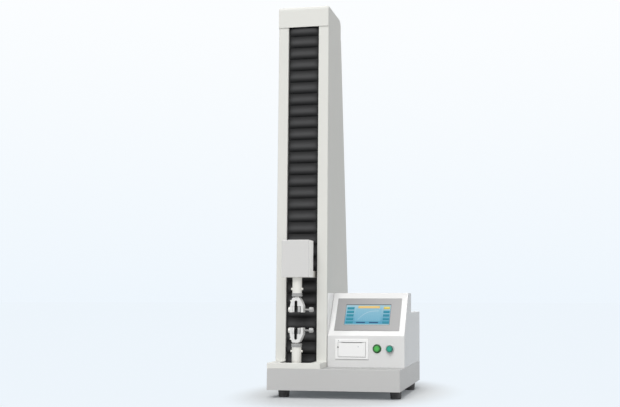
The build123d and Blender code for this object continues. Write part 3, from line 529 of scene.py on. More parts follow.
def plate(width, height, thick, corner, edge=0.0):
    """A flat plate with round corners in its own XY plane, its front rim rounded off towards +Z."""
    shape = bmesh.new()
    rim, steps = [], 6
    for turn, (side, up) in enumerate(((1, 1), (-1, 1), (-1, -1), (1, -1))):
        for step in range(steps + 1):
            angle = (turn + step / steps) * pi / 2
            rim.append(shape.verts.new((side * (width / 2 - corner) + corner * cos(angle),
                                        up * (height / 2 - corner) + corner * sin(angle), 0)))
    bottom = shape.faces.new(rim)
    raise_face(shape, bottom, (0, 0, thick))
    if edge:
        crown = [one for one in shape.edges if all(end.co.z > thick * 0.99 for end in one.verts)]
        bmesh.ops.bevel(shape, geom=crown, offset=edge, segments=3, profile=0.5, affect="EDGES")
    bmesh.ops.recalc_face_normals(shape, faces=shape.faces)
    return shape


def raise_face(shape, face, way):
    """Draws a face out into a solid."""
    drawn = bmesh.ops.extrude_face_region(shape, geom=[face])["geom"]
    raised = [item for item in drawn if isinstance(item, bmesh.types.BMVert)]
    bmesh.ops.translate(shape, verts=raised, vec=way)


def smoothed(mesh, angle=35):
    """The mesh shaded smooth but for edges sharper than an angle in degrees."""
    mesh.shade_smooth()
    mesh.set_sharp_from_angle(angle=radians(angle))
    return mesh


def block(low, high, edge):
    """A box between two corners with rounded edges."""
    shape = bmesh.new()
    bmesh.ops.create_cube(shape, size=1, matrix=Matrix.Translation((Vector(low) + Vector(high)) / 2)
                          @ Matrix.Diagonal((*(Vector(high) - Vector(low)), 1)))
    bmesh.ops.bevel(shape, geom=shape.edges[:], offset=edge, segments=2, profile=0.5, affect="EDGES")
    return shape


def mesh_of(shape, name, matrix=Matrix.Identity(4)):
    """A smooth mesh from a shape, moved to its place."""
    bmesh.ops.transform(shape, matrix=matrix, verts=shape.verts)
    mesh = bpy.data.meshes.new(name)
    shape.to_mesh(mesh)
    shape.free()
    return smoothed(mesh)


def join(first, *others):
    """Adds other meshes to the first, which keeps its name."""
    shape = bmesh.new()
    for mesh in (first, *others):
        shape.from_mesh(mesh)
    shape.to_mesh(first)
    shape.free()
    for mesh in others:
        bpy.data.meshes.remove(mesh)
    return smoothed(first)


def piece(name, mesh, slot, body=None, stands_for=(), finish=None):
    """A piece with its mesh, its material, the body that it rides on and the CAD nodes it stands for."""
    mesh.materials.clear()
    mesh.materials.append(finish or finishes[slot])
    made = bpy.data.objects.new(name, mesh)
    bpy.context.scene.collection.objects.link(made)
    if body:
        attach(made, body)
    if stands_for:
        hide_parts(*stands_for)
    return made


class Growth(Nodes):
    """A Geometry Nodes tree with named inputs, ending in real geometry with a material."""

    def __init__(self, name, inputs):
        super().__init__(bpy.data.node_groups.new(name, "GeometryNodeTree"))
        face = self.tree.interface
        face.new_socket("Geometry", in_out="OUTPUT", socket_type="NodeSocketGeometry")
        self.keys = {}
        for label, kind in inputs.items():
            self.keys[label] = face.new_socket(label, in_out="INPUT", socket_type=kind).identifier
        self.entry = self.add("NodeGroupInput")

    def input(self, label):
        """The socket of a named input."""
        return self.entry.part(label)

    def close(self, geometry, finish):
        """Realizes the instances, sets the material and ends the tree."""
        real = self.add("GeometryNodeRealizeInstances", {"Geometry": geometry})
        dressed = self.add("GeometryNodeSetMaterial", {"Geometry": real, "Material": finish})
        self.add("NodeGroupOutput", {0: dressed})
        return self

    def pyramid(self, radius, depth):
        """An open four-sided point."""
        return self.add("GeometryNodeMeshCone", {
            "Vertices": 4, "Radius Bottom": radius, "Radius Top": 0.0, "Depth": depth}, fill_type="NONE")

    def copies(self, points, instance, rotation):
        """A copy of the instance at each point."""
        return self.add("GeometryNodeInstanceOnPoints", {
            "Points": points, "Instance": instance, "Rotation": rotation})

    def turned(self, direction):
        """The rotation that points an instance's own Z along a direction."""
        return self.add("FunctionNodeAlignRotationToVector", {"Vector": direction}, axis="Z")

    def grow(self, name, values, thickness=0.0):
        """Runs the tree on an empty mesh with these inputs and gives the result as a plain mesh."""
        host = bpy.data.objects.new(name, bpy.data.meshes.new(name))
        bpy.context.scene.collection.objects.link(host)
        modifier = host.modifiers.new("growth", "NODES")
        modifier.node_group = self.tree
        for label, value in values.items():
            modifier[self.keys[label]] = value
        if thickness:
            wall = host.modifiers.new("wall", "SOLIDIFY")
            wall.thickness = thickness
            wall.offset = -1
        mesh = bpy.data.meshes.new_from_object(host.evaluated_get(bpy.context.evaluated_depsgraph_get()))
        empty = host.data
        bpy.data.objects.remove(host)
        bpy.data.meshes.remove(empty)
        if not mesh.polygons:
            raise RuntimeError(f"the {self.tree.name} tree gave no faces for {name}")
        return mesh


FLOAT, WHOLE = "NodeSocketFloat", "NodeSocketInt"


def pleat_tree(finish):
    """One rib of the bellows between two levels: a rounded front fold whose ends turn back to the sides."""
    labels = ("Axis", "Width", "Front", "Depth", "Low", "High", "Ridge", "Pitch")
    tree = Growth("pleat", dict.fromkeys(labels, FLOAT))
    width, low, high = tree.input("Width"), tree.input("Low"), tree.input("High")
    grid = tree.add("GeometryNodeMeshGrid", {
        "Size X": width, "Size Y": high - low, "Vertices X": 49, "Vertices Y": 21})
    axes = tree.axes(tree.add("GeometryNodeInputPosition"))
    level = (low + high) * 0.5 + axes.part("Y")
    turn = (level - tree.input("Ridge")) / tree.input("Pitch")
    wave = abs((turn * pi).call("COSINE"))
    ends = 1 - (abs(axes) / (width * 0.5)) ** 6.0
    ridge = (wave ** 0.8) * ends
    # Painted shading for the cloth: light on the rib, shade in the creases and towards the ends, and the
    # upper half darker than the lower to offset the light from above.
    worn = (wave ** 2.5) * ends * (0.75 - 0.25 * (turn * tau).call("SINE"))
    place = tree.add("ShaderNodeCombineXYZ", {
        "X": tree.input("Axis") + axes, "Z": level,
        "Y": tree.input("Front") + tree.input("Depth") * (1 - ridge)})
    kept = tree.add("GeometryNodeStoreNamedAttribute", {"Geometry": grid, "Name": "worn", "Value": worn},
                    data_type="FLOAT", domain="POINT")
    moved = tree.add("GeometryNodeSetPosition", {"Geometry": kept, "Position": place})
    smooth = tree.add("GeometryNodeSetShadeSmooth", {"Geometry": moved, "Shade Smooth": True})
    return tree.close(smooth, finish)


def knurl_tree(finish):
    """Diamond points in staggered rows round a cylinder along local Z."""
    tree = Growth("knurl", {**dict.fromkeys(("Radius", "Length", "Height"), FLOAT),
                            **dict.fromkeys(("Around", "Rows"), WHOLE)})
    around, rows, radius = tree.input("Around"), tree.input("Rows"), tree.input("Radius")
    number, overlap = tree.add("GeometryNodeInputIndex"), 1.04
    row = ((number + 0.5) / around).call("FLOOR")
    angle = ((number % around) + 0.5 * (row % 2.0)) / around * tau
    x, y = angle.call("COSINE"), angle.call("SINE")
    direction = tree.add("ShaderNodeCombineXYZ", {"X": x, "Y": y})
    place = tree.add("ShaderNodeCombineXYZ", {
        "X": radius * x, "Y": radius * y, "Z": (row + 0.5) / rows * tree.input("Length")})
    points = tree.add("GeometryNodePoints", {"Count": around * rows, "Position": place})
    point = tree.pyramid(radius * (pi * overlap) / around, tree.input("Height"))
    return tree.close(tree.copies(points, point, tree.turned(direction)), finish)


def knurl_band(tree, name, radius, tall, pitch, height):
    """A band of diamonds from local Z 0 whose points reach a radius."""
    sunk, crowding = 0.02 * MM, 1.15
    return tree.grow(name, {
        "Radius": radius - height - sunk, "Length": tall, "Height": height,
        "Around": round(tau * radius / pitch), "Rows": round(tall / pitch * crowding)})


def tooth_tree(finish):
    """Square points in rows over a rectangle of the XY plane, tips towards +Z."""
    tree = Growth("teeth", {"Width": FLOAT, "Height": FLOAT, "Pitch": FLOAT, "Depth": FLOAT})
    pitch, half_diagonal = tree.input("Pitch"), 0.7071
    width, height = tree.input("Width"), tree.input("Height")
    grid = tree.add("GeometryNodeMeshGrid", {
        "Size X": width - pitch, "Size Y": height - pitch,
        "Vertices X": (width / pitch).call("ROUND"), "Vertices Y": (height / pitch).call("ROUND")})
    tooth = tree.pyramid(pitch * half_diagonal, tree.input("Depth"))
    eighth = tree.add("ShaderNodeCombineXYZ", {"Z": pi / 4})
    return tree.close(tree.copies(grid, tooth, eighth), finish)


def thread_tree(finish):
    """A thread ridge round a core along local Z: a helix with a small diamond drawn along it."""
    labels = dict.fromkeys(("Radius", "Length", "Pitch", "Ridge"), FLOAT)
    tree = Growth("thread", {**labels, "Steps": WHOLE})
    radius, long, pitch = tree.input("Radius"), tree.input("Length"), tree.input("Pitch")
    helix = tree.add("GeometryNodeCurveSpiral", {
        "Resolution": tree.input("Steps"), "Rotations": long / pitch, "Start Radius": radius,
        "End Radius": radius, "Height": long, "Reverse": True})
    upright = tree.add("GeometryNodeSetCurveNormal", {"Curve": helix}, mode="Z_UP")
    ridge = tree.add("GeometryNodeCurvePrimitiveCircle", {"Resolution": 4, "Radius": tree.input("Ridge")})
    solid = tree.add("GeometryNodeCurveToMesh", {
        "Curve": upright, "Profile Curve": ridge, "Fill Caps": True})
    return tree.close(solid, finish)


def screw_tree(finish):
    """One screw head at each place along a straight line, all turned the same way."""
    tree = Growth("screw_heads", {**dict.fromkeys(("Start", "Step", "Facing"), "NodeSocketVector"),
                                  "Count": WHOLE, "Head": "NodeSocketObject"})
    line = tree.add("GeometryNodeMeshLine", {
        "Count": tree.input("Count"), "Start Location": tree.input("Start"), "Offset": tree.input("Step")})
    head = tree.add("GeometryNodeObjectInfo", {"Object": tree.input("Head")}, output="Geometry")
    return tree.close(tree.copies(line, head, tree.turned(tree.input("Facing"))), finish)


def carve(host, cutter_shape):
    """Cuts a shape out of an object and leaves the result as the object's own mesh."""
    cutter = bpy.data.objects.new("cutter", mesh_of(cutter_shape, "cutter"))
    scene = bpy.context.scene.collection.objects
    scene.link(host)
    scene.link(cutter)
    cut = host.modifiers.new("cut", "BOOLEAN")
    cut.object = cutter
    cut.operation = "DIFFERENCE"
    cut.solver = "EXACT"
    cut.use_self = True
    carved = bpy.data.meshes.new_from_object(host.evaluated_get(bpy.context.evaluated_depsgraph_get()))
    carved.name = host.name
    old = (host.data, cutter.data)
    host.modifiers.clear()
    host.data = smoothed(carved, 30)
    bpy.data.objects.remove(cutter)
    for mesh in old:
        bpy.data.meshes.remove(mesh)
    scene.unlink(host)
    return host


def pan_head(name, diameter, height):
    """A pan-head screw with a cross recess, its seat at local Z 0. The object is only a pattern to copy."""
    radius, skirt = diameter / 2, 0.35
    slot_long, slot_wide, slot_deep = diameter * 0.60, diameter * 0.14, height * 0.9
    crown = [(radius * 0.98 * cos(a), height * (skirt + (1 - skirt) * sin(a)))
             for a in (0.35, 0.7, 1.05, 1.3)]
    outline = [(0, 0), (radius, 0), (radius, height * skirt), *crown, (0, height)]
    host = bpy.data.objects.new(name, mesh_of(lathe(outline, 28), name))
    cutter = bmesh.new()
    for across, deep in ((slot_long, slot_wide), (slot_wide, slot_long)):
        bmesh.ops.create_cube(cutter, size=1, matrix=Matrix.Translation((0, 0, height))
                              @ Matrix.Diagonal((across, deep, slot_deep, 1)))
    return carve(host, cutter)


def take_mesh(host):
    """The mesh of an object that was only a pattern; the object goes."""
    mesh = host.data
    bpy.data.objects.remove(host)
    return mesh


def lifted(mesh, height):
    """The mesh moved up along Z."""
    mesh.transform(Matrix.Translation((0, 0, height)))
    return mesh


def end_middle(node, side):
    """The middle of a node's left (-1) or right (1) end."""
    low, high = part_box(node)
    middle = centre(node)
    middle.x = high.x if side > 0 else low.x
    return middle


def corner_places(low, high, inset):
    """The four places (X, Y) that lie an inset inside the corners of a box."""
    return [(x, y) for x in (low.x + inset, high.x - inset) for y in (low.y + inset, high.y - inset)]


class TESTER_OT_finishes(bpy.types.Operator):
    """Make the finishes and put each on the CAD nodes of its slot"""

    bl_idname = "tester.finishes"
    bl_label = "Finishes"

    def execute(self, context):
        finishes.update(machine_finishes(context.scene.tester_paint))
        for part in frame["record"]["subparts"]:
            mesh = frame["nodes"][part["node"]].data
            mesh.materials.clear()
            mesh.materials.append(finishes[part["material_slot"]])
        # The grip bodies take the steel with painted shade in their throats.
        for end, _ in GRIPS:
            frame["nodes"][f"{end}_grip_body"].data.materials[0] = finishes["throat_steel"]
        frame["nodes"]["front_platform"].data.materials[0] = finishes["platform_paint"]
        return {"FINISHED"}


def pleat_levels(low, high, ridge, pitch):
    """The creases between two levels, with both ends, leaving out slivers under a fifth of a pitch."""
    sliver = pitch / 5
    level = ridge - pitch / 2
    level -= ((level - low) // pitch) * pitch
    inner = []
    while level < high:
        if level - low > sliver and high - level > sliver:
            inner.append(level)
        level += pitch
    return [low, *inner, high]


def linear_reach(share):
    inside = 0.5 - sin(asin(1 - 2 * share) / 3)
    width = 6 * inside * (1 - inside)
    return share - inside * width, share + (1 - inside) * width


class TESTER_OT_bellows(bpy.types.Operator):
    """Build both bellows rib by rib, between the levels of their CAD nodes"""

    bl_idname = "tester.bellows"
    bl_label = "Bellows"

    def execute(self, context):
        sizes = context.scene.tester_sizes
        pitch = sizes.pleat_pitch
        tree = pleat_tree(finishes["bellows_rubber"])
        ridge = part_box("column_left_panel")[1].z - pitch / 4
        for node, fixed_high in (("upper_bellows", True), ("lower_bellows", False)):
            low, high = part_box(node)
            fixed, moving = (high.z, low.z) if fixed_high else (low.z, high.z)
            levels = pleat_levels(low.z, high.z, ridge, pitch)
            for number, (start, end) in enumerate(zip(levels, levels[1:]), 1):
                mesh = tree.grow("pleat", {
                    "Axis": (low.x + high.x) / 2, "Width": high.x - low.x, "Front": low.y,
                    "Depth": sizes.pleat_depth, "Low": start, "High": end, "Ridge": ridge,
                    "Pitch": pitch}, sizes.pleat_skin)
                rib = piece(f"{node}_rib_{number:02d}", mesh, "bellows_rubber", stands_for=(node,))
                share = ((start + end) / 2 - fixed) / (moving - fixed)
                near, far = (fixed + reach * (moving - fixed) for reach in linear_reach(share))
                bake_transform(rib)
        return {"FINISHED"}


class TESTER_OT_jaws(bpy.types.Operator):
    """Replace the jaw blocks with jaws that have rows of points on their gripping faces"""

    bl_idname = "tester.jaws"
    bl_label = "Jaws"

    pin: length("Shoulder pin", "Diameter of the dowel in each grip's shoulder", 5.0 * MM)
    pin_length: length("Pin length", "Length of the dowel", 15.4 * MM)
    pin_drop: length("Pin drop", "From the dowel to the rod's end of the grip", 11.4 * MM)

    def execute(self, context):
        pitch = context.scene.tester_sizes.tooth_pitch
        depth, bevel = pitch * 0.45, 0.5 * MM
        tree = tooth_tree(finishes["grip_steel"])
        for end, body in GRIPS:
            for kind, rides, facing, finish in (("fixed_jaw", body, 1, "throat_steel"),
                                                ("moving_jaw", f"{end}_jaw", -1, "jaw_steel")):
                node = f"{end}_{kind}"
                low, high = (Vector(corner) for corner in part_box(node))
                teeth = tree.grow(f"{node}_teeth", {"Width": high.y - low.y, "Height": high.z - low.z,
                                                    "Pitch": pitch, "Depth": depth})
                root = end_middle(node, facing)
                root.x -= facing * depth
                teeth.transform(along((facing, 0, 0), root))
                (high if facing > 0 else low).x = root.x
                mesh = join(mesh_of(block(low, high, bevel), node), teeth)
                piece(f"{node}_points", mesh, "grip_steel", rides, (node,), finishes[finish])
            self.shoulder_pin(end, body)
        return {"FINISHED"}

    def shoulder_pin(self, end, body):
        """The dowel in the left shoulder of a grip."""
        low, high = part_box(f"{end}_grip_body")
        level = high.z - self.pin_drop if end == "upper" else low.z + self.pin_drop
        radius, bevel, root = self.pin / 2, 0.5 * MM, 8 * MM
        shape = lathe([(0, 0), (radius, 0), (radius, self.pin_length - bevel),
                       (radius - bevel, self.pin_length), (0, self.pin_length)], 32)
        start = (centre(f"{end}_rod").x - root, (low.y + high.y) / 2, level)
        mesh = mesh_of(shape, "shoulder_pin", along((-1, 0, 0), start))
        piece(f"{end}_shoulder_pin", mesh, "grip_steel", body)


class TESTER_OT_clamp_screws(bpy.types.Operator):
    """Replace the clamp screws with threaded, knurled ones and the jaw bolts with socket-head bolts"""

    bl_idname = "tester.clamp_screws"
    bl_label = "Clamp screws"

    knob_length: length("Knob length", "Length of the knurled head", 14.2 * MM)
    shank: length("Shank", "Outside diameter of the thread", 6.9 * MM)
    tip: length("Tip", "Diameter of the plain tip in the jaw", 5.0 * MM)
    tip_length: length("Tip length", "Length of the plain tip", 5.3 * MM)

    def execute(self, context):
        sizes = context.scene.tester_sizes
        ridges, diamonds = thread_tree(finishes["grip_steel"]), knurl_tree(finishes["grip_steel"])
        ridge, run_in, skin = sizes.clamp_pitch * 0.42, 0.8 * MM, 0.5 * MM
        core, tip, tip_end = self.shank / 2 - ridge, self.tip / 2, self.tip_length
        chamfer, flare, collar, bevel = 0.4 * MM, 1.5 * MM, 1 * MM, 1.2 * MM
        dish_rim, dish, dish_depth = 2.6 * MM, 3.2 * MM, 0.8 * MM
        for end, body in GRIPS:
            node = f"{end}_clamp_screw"
            low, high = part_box(node)
            long, radius = high.x - low.x, (high.z - low.z) / 2
            knob, inner = long - self.knob_length, radius - skin
            profile = [(0, 0), (tip - chamfer, 0), (tip, chamfer), (tip, tip_end), (core, tip_end),
                       (core, knob - flare), (self.shank / 2 + collar, knob), (inner - bevel, knob),
                       (inner, knob + bevel), (inner, long - 2 * bevel), (inner - bevel, long - bevel * 0.6),
                       (inner - dish_rim, long), (inner - dish, long - dish_depth), (0, long - dish_depth)]
            mesh = mesh_of(lathe(profile, 56), node)
            thread = ridges.grow(f"{end}_thread", {
                "Radius": core, "Length": knob - tip_end - 2 * flare, "Pitch": sizes.clamp_pitch,
                "Ridge": ridge, "Steps": 32})
            grip = self.knob_length - 4 * bevel
            knurl = knurl_band(diamonds, f"{end}_knurl", radius, grip, sizes.knurl_pitch, skin)
            mesh = join(mesh, lifted(thread, tip_end + run_in), lifted(knurl, knob + 1.5 * bevel))
            mesh.transform(along((1, 0, 0), end_middle(node, -1)))
            piece(f"{node}_threaded", mesh, "grip_steel", f"{end}_clamp", (node,), finishes["ring_steel"])
            self.socket_bolt(f"{end}_jaw_bolt", body)
        return {"FINISHED"}

    def socket_bolt(self, node, body):
        """A bolt with a chamfered head and a hexagon socket, head towards -X."""
        low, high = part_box(node)
        radius, long = (high.z - low.z) / 2, high.x - low.x
        head, shank, bevel = 7.5 * MM, 4 * MM, 1.2 * MM
        hexagon, socket_depth = radius * 0.48, 3.5 * MM
        profile = [(0, 0), (shank, 0), (shank, long - head), (radius, long - head), (radius, long - bevel),
                   (radius - bevel, long), (0, long)]
        host = bpy.data.objects.new(node, mesh_of(lathe(profile, 48), node))
        socket = bmesh.new()
        bmesh.ops.create_cone(socket, cap_ends=True, segments=6, radius1=hexagon, radius2=hexagon,
                              depth=2 * socket_depth, matrix=Matrix.Translation((0, 0, long)))
        mesh = take_mesh(carve(host, socket))
        mesh.transform(along((-1, 0, 0), end_middle(node, 1)))
        piece(f"{node}_socket_head", mesh, "grip_steel", body, (node,))


class TESTER_OT_lock_rings(bpy.types.Operator):
    """Replace the lock rings with knurled rings that have a smooth collar towards the rod"""

    bl_idname = "tester.lock_rings"
    bl_label = "Lock rings"

    def execute(self, context):
        pitch = context.scene.tester_sizes.knurl_pitch
        diamonds = knurl_tree(finishes["grip_steel"])
        bore, bevel, skin, land = 6.08 * MM, 1.0 * MM, 0.5 * MM, 0.2 * MM
        groove, slope, bed = 1.2 * MM, 0.5 * MM, 0.9 * MM
        for end, _ in GRIPS:
            node = f"{end}_lock_ring"
            low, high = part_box(node)
            away = 1 if end == "upper" else -1
            radius, tall = (high.x - low.x) / 2, high.z - low.z
            band, inner, collar = tall * 0.58, radius - skin, radius - land
            outline = [(bore, 0), (inner - bevel, 0), (inner, bevel), (inner, band),
                       (inner - groove, band + slope), (inner - groove, band + slope + bed),
                       (collar, band + 2 * slope + bed), (collar, tall - bevel), (radius - bevel, tall),
                       (bore, tall), (bore, 0)]
            mesh = mesh_of(lathe(outline, 64), node)
            knurl = knurl_band(diamonds, f"{node}_knurl", radius, band - bevel * 1.4, pitch, skin)
            mesh = join(mesh, lifted(knurl, bevel * 0.9))
            middle = centre(node)
            mesh.transform(along((0, 0, away), (middle.x, middle.y, middle.z - away * tall / 2)))
            piece(f"{node}_knurled", mesh, "grip_steel", f"{end}_ring", (node,), finishes["ring_steel"])
        return {"FINISHED"}


def overlay_seat():
    """A matrix in the middle of the screen overlay, Z out of the panel, and the overlay's corners in it."""
    overlay = frame["nodes"]["screen_overlay"].data
    face = max(overlay.polygons, key=lambda one: one.area)
    lean = atan2(abs(face.normal.z), abs(face.normal.y))
    seat = Matrix.Translation(centre("screen_overlay")) @ Matrix.Rotation(pi / 2 - lean, 4, "X")
    inward = seat.inverted()
    return seat, [inward @ corner.co for corner in overlay.vertices]


def screen_window():
    """Width and height of the overlay's window, and a matrix at the middle of the glass in it."""
    seat, corners = overlay_seat()
    front = max(corner.z for corner in corners)
    half_x, half_y = (max(abs(corner[axis]) for corner in corners) - MM for axis in (0, 1))
    inner = [corner for corner in corners if abs(corner.x) < half_x and abs(corner.y) < half_y]
    left, right = min(corner.x for corner in inner), max(corner.x for corner in inner)
    low, high = min(corner.y for corner in inner), max(corner.y for corner in inner)
    middle = Matrix.Translation(((left + right) / 2, (low + high) / 2, front))
    return right - left, high - low, seat @ middle


class TESTER_OT_screen(bpy.types.Operator):
    """Lay the lit display on the touch screen"""

    bl_idname = "tester.screen"
    bl_label = "Screen"

    rim: length("Rim", "Black rim left round the picture", 1.0 * MM)
    thick: length("Thickness", "Thickness of the front pane", 0.3 * MM)

    def execute(self, context):
        window_width, window_height, seat = screen_window()
        width, height = window_width - 2 * self.rim, window_height - 2 * self.rim
        corner, bevel = 1.5 * MM, 0.1 * MM
        shape = plate(width, height, self.thick, corner, bevel)
        layer = shape.loops.layers.uv.new("UVMap")
        for face in shape.faces:
            for loop in face.loops:
                loop[layer].uv = (loop.vert.co.x / width + 0.5, loop.vert.co.y / height + 0.5)
        piece("screen_display", mesh_of(shape, "screen_display", seat), "screen_glass", "frame",
              finish=finishes["screen_picture"])
        return {"FINISHED"}


class TESTER_OT_cheek(bpy.types.Operator):
    """Stand the flat cheek beside the console's slope, its paint brightened as painted light, with a dark
    strip of painted shade along its foot
    """

    bl_idname = "tester.cheek"
    bl_label = "Console cheek"

    thick: length("Thickness", "Thickness of the cheek's sheet", 2.0 * MM)
    # The seam is a dark strip of painted shade.
    seam: length("Seam", "Width of the dark seam", 0.6 * MM)

    def execute(self, context):
        low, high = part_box("console_housing")
        corners = [corner.co for corner in frame["nodes"]["console_housing"].data.vertices]
        near, bevel = 0.01 * MM, 0.3 * MM
        fold = max(corner.z for corner in corners if corner.y < low.y + near)
        crest = min(corner.y for corner in corners if corner.z > high.z - near)
        foot, head = Vector((low.x, low.y, fold)), Vector((low.x, crest, high.z))
        shape = bmesh.new()
        side = [shape.verts.new(point) for point in (foot, (low.x, low.y, high.z), head)]
        raise_face(shape, shape.faces.new(side), (self.thick, 0, 0))
        bmesh.ops.recalc_face_normals(shape, faces=shape.faces)
        bmesh.ops.bevel(shape, geom=shape.edges[:], offset=bevel, segments=2, profile=0.5, affect="EDGES")
        piece("console_cheek", mesh_of(shape, "console_cheek"), "white_paint", "frame",
              finish=finishes["cheek_lightened"])
        self.foot_shadow_strip(foot, head)
        return {"FINISHED"}

    def foot_shadow_strip(self, foot, head):
        """A dark strip, painted shade for the shadow line where the cheek's foot meets the slope."""
        seat, corners = overlay_seat()
        foot, head = seat.inverted() @ foot, seat.inverted() @ head
        back = min(corner.z for corner in corners)
        inset, sunk, proud, bevel = 2 * MM, 0.4 * MM, 0.15 * MM, 0.1 * MM
        strip = block((foot.x + self.thick, foot.y + inset, back - sunk),
                      (foot.x + self.thick + self.seam, head.y - inset, back + proud), bevel)
        piece("console_cheek_seam", mesh_of(strip, "console_cheek_seam", seat), "black_rubber", "frame")


class TESTER_OT_printer(bpy.types.Operator):
    """Add the printer's lamp, feed key and latch button, and a grey strip of painted shade in the door's gap
    """

    bl_idname = "tester.printer"
    bl_label = "Printer details"

    def execute(self, context):
        low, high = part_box("printer_door")
        frame_low, frame_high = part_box("printer_housing")
        face, rim = frame_low.y, frame_low.x + 10 * MM
        spots = (
            ("printer_lamp", "zinc_steel", "frame", 24,
             (rim + 2 * MM, face + 0.4 * MM, (high.z + frame_high.z) / 2),
             ((2.2, 0), (2.2, 0.3), (1.6, 0.7), (0, 0.8))),
            ("printer_latch_button", "black_plastic", "frame", 28,
             (rim, face + 0.4 * MM, high.z - 16 * MM),
             ((2.6, 0), (2.6, 0.4), (2.2, 0.8), (0, 0.6))),
            ("printer_feed_key", "zinc_steel", "door", 28,
             (high.x - 28 * MM, face + 0.3 * MM, high.z - 14 * MM),
             ((1.9, 0), (1.9, 0.3), (1.6, 0.5), (0, 0.4))))
        for name, slot, body, steps, place, outline in spots:
            shape = lathe([(0, 0), *((radius * MM, rise * MM) for radius, rise in outline)], steps)
            piece(name, mesh_of(shape, name, along(FRONT, place)), slot, body)
        self.door_gap_shade(low, high, face)
        return {"FINISHED"}

    def door_gap_shade(self, low, high, face):
        """A grey strip on the frame's edge, in the gap round the door: painted shade for the gap's shadow
        line.
        """
        out, clear, near, far, bevel = 1.15 * MM, 0.4 * MM, 0.5 * MM, 1.5 * MM, 0.1 * MM
        runs = []
        for x0, x1, z0, z1 in (
                (low.x - out, low.x - clear, low.z - out, high.z + out),
                (high.x + clear, high.x + out, low.z - out, high.z + out),
                (low.x - clear, high.x + clear, low.z - out, low.z - clear),
                (low.x - clear, high.x + clear, high.z + clear, high.z + out)):
            runs.append(mesh_of(block((x0, face + near, z0), (x1, face + far, z1), bevel), "seal_run"))
        piece("printer_door_seal", join(*runs), "black_rubber", "frame", finish=finishes["gap_shade_grey"])


class TESTER_OT_buttons(bpy.types.Operator):
    """Replace the push buttons and bezels with domed caps in turned rings"""

    bl_idname = "tester.buttons"
    bl_label = "Push buttons"

    def execute(self, context):
        bezel_low, bezel_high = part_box("button_bezels")
        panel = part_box("console_housing")[0].y
        radius, rise = (bezel_high.z - bezel_low.z) / 2, panel - bezel_low.y
        back, sleeve = panel - bezel_high.y + 2 * MM, 13 * MM
        shoulder, crown, dome = 1.8 * MM, 1.6 * MM, 0.05 * MM
        play, lip, waist, rim = 0.2 * MM, 0.8 * MM, 0.6 * MM, 1.8 * MM
        for name, slot, ring_slot, finish in (("start", "green_lens", "black_plastic", "start_ring"),
                                              ("stop", "teal_lens", "bezel_metal", "bezel_metal")):
            node = f"{name}_button"
            low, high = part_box(node)
            middle = centre(node)
            cap_radius, long = (high.x - low.x) / 2, high.y - low.y
            profile = [(0, 0), (cap_radius, 0), (cap_radius, long - shoulder)]
            profile += [(cap_radius - shoulder * (1 - cos(a)), long - shoulder + crown * sin(a))
                        for a in (pi / 8, pi / 4, 3 * pi / 8, pi / 2)]
            profile += [(cap_radius * 0.45, long - dome), (0, long)]
            mesh = mesh_of(lathe(profile, 64), f"{name}_cap", along(FRONT, (middle.x, high.y, middle.z)))
            piece(f"{name}_cap", mesh, slot, f"{name}_cap", (node,))
            bore = cap_radius + play
            ring = [(bore, back), (sleeve, back), (sleeve, 0), (radius, 0), (radius, rise * 0.45),
                    (radius - waist, rise * 0.8), (radius - rim, rise), (bore + lip, rise),
                    (bore, rise - lip), (bore, back)]
            mesh = mesh_of(lathe(ring, 72), f"{name}_bezel", along(FRONT, (middle.x, panel, middle.z)))
            piece(f"{name}_bezel", mesh, ring_slot, "frame", ("button_bezels",), finishes[finish])
        return {"FINISHED"}


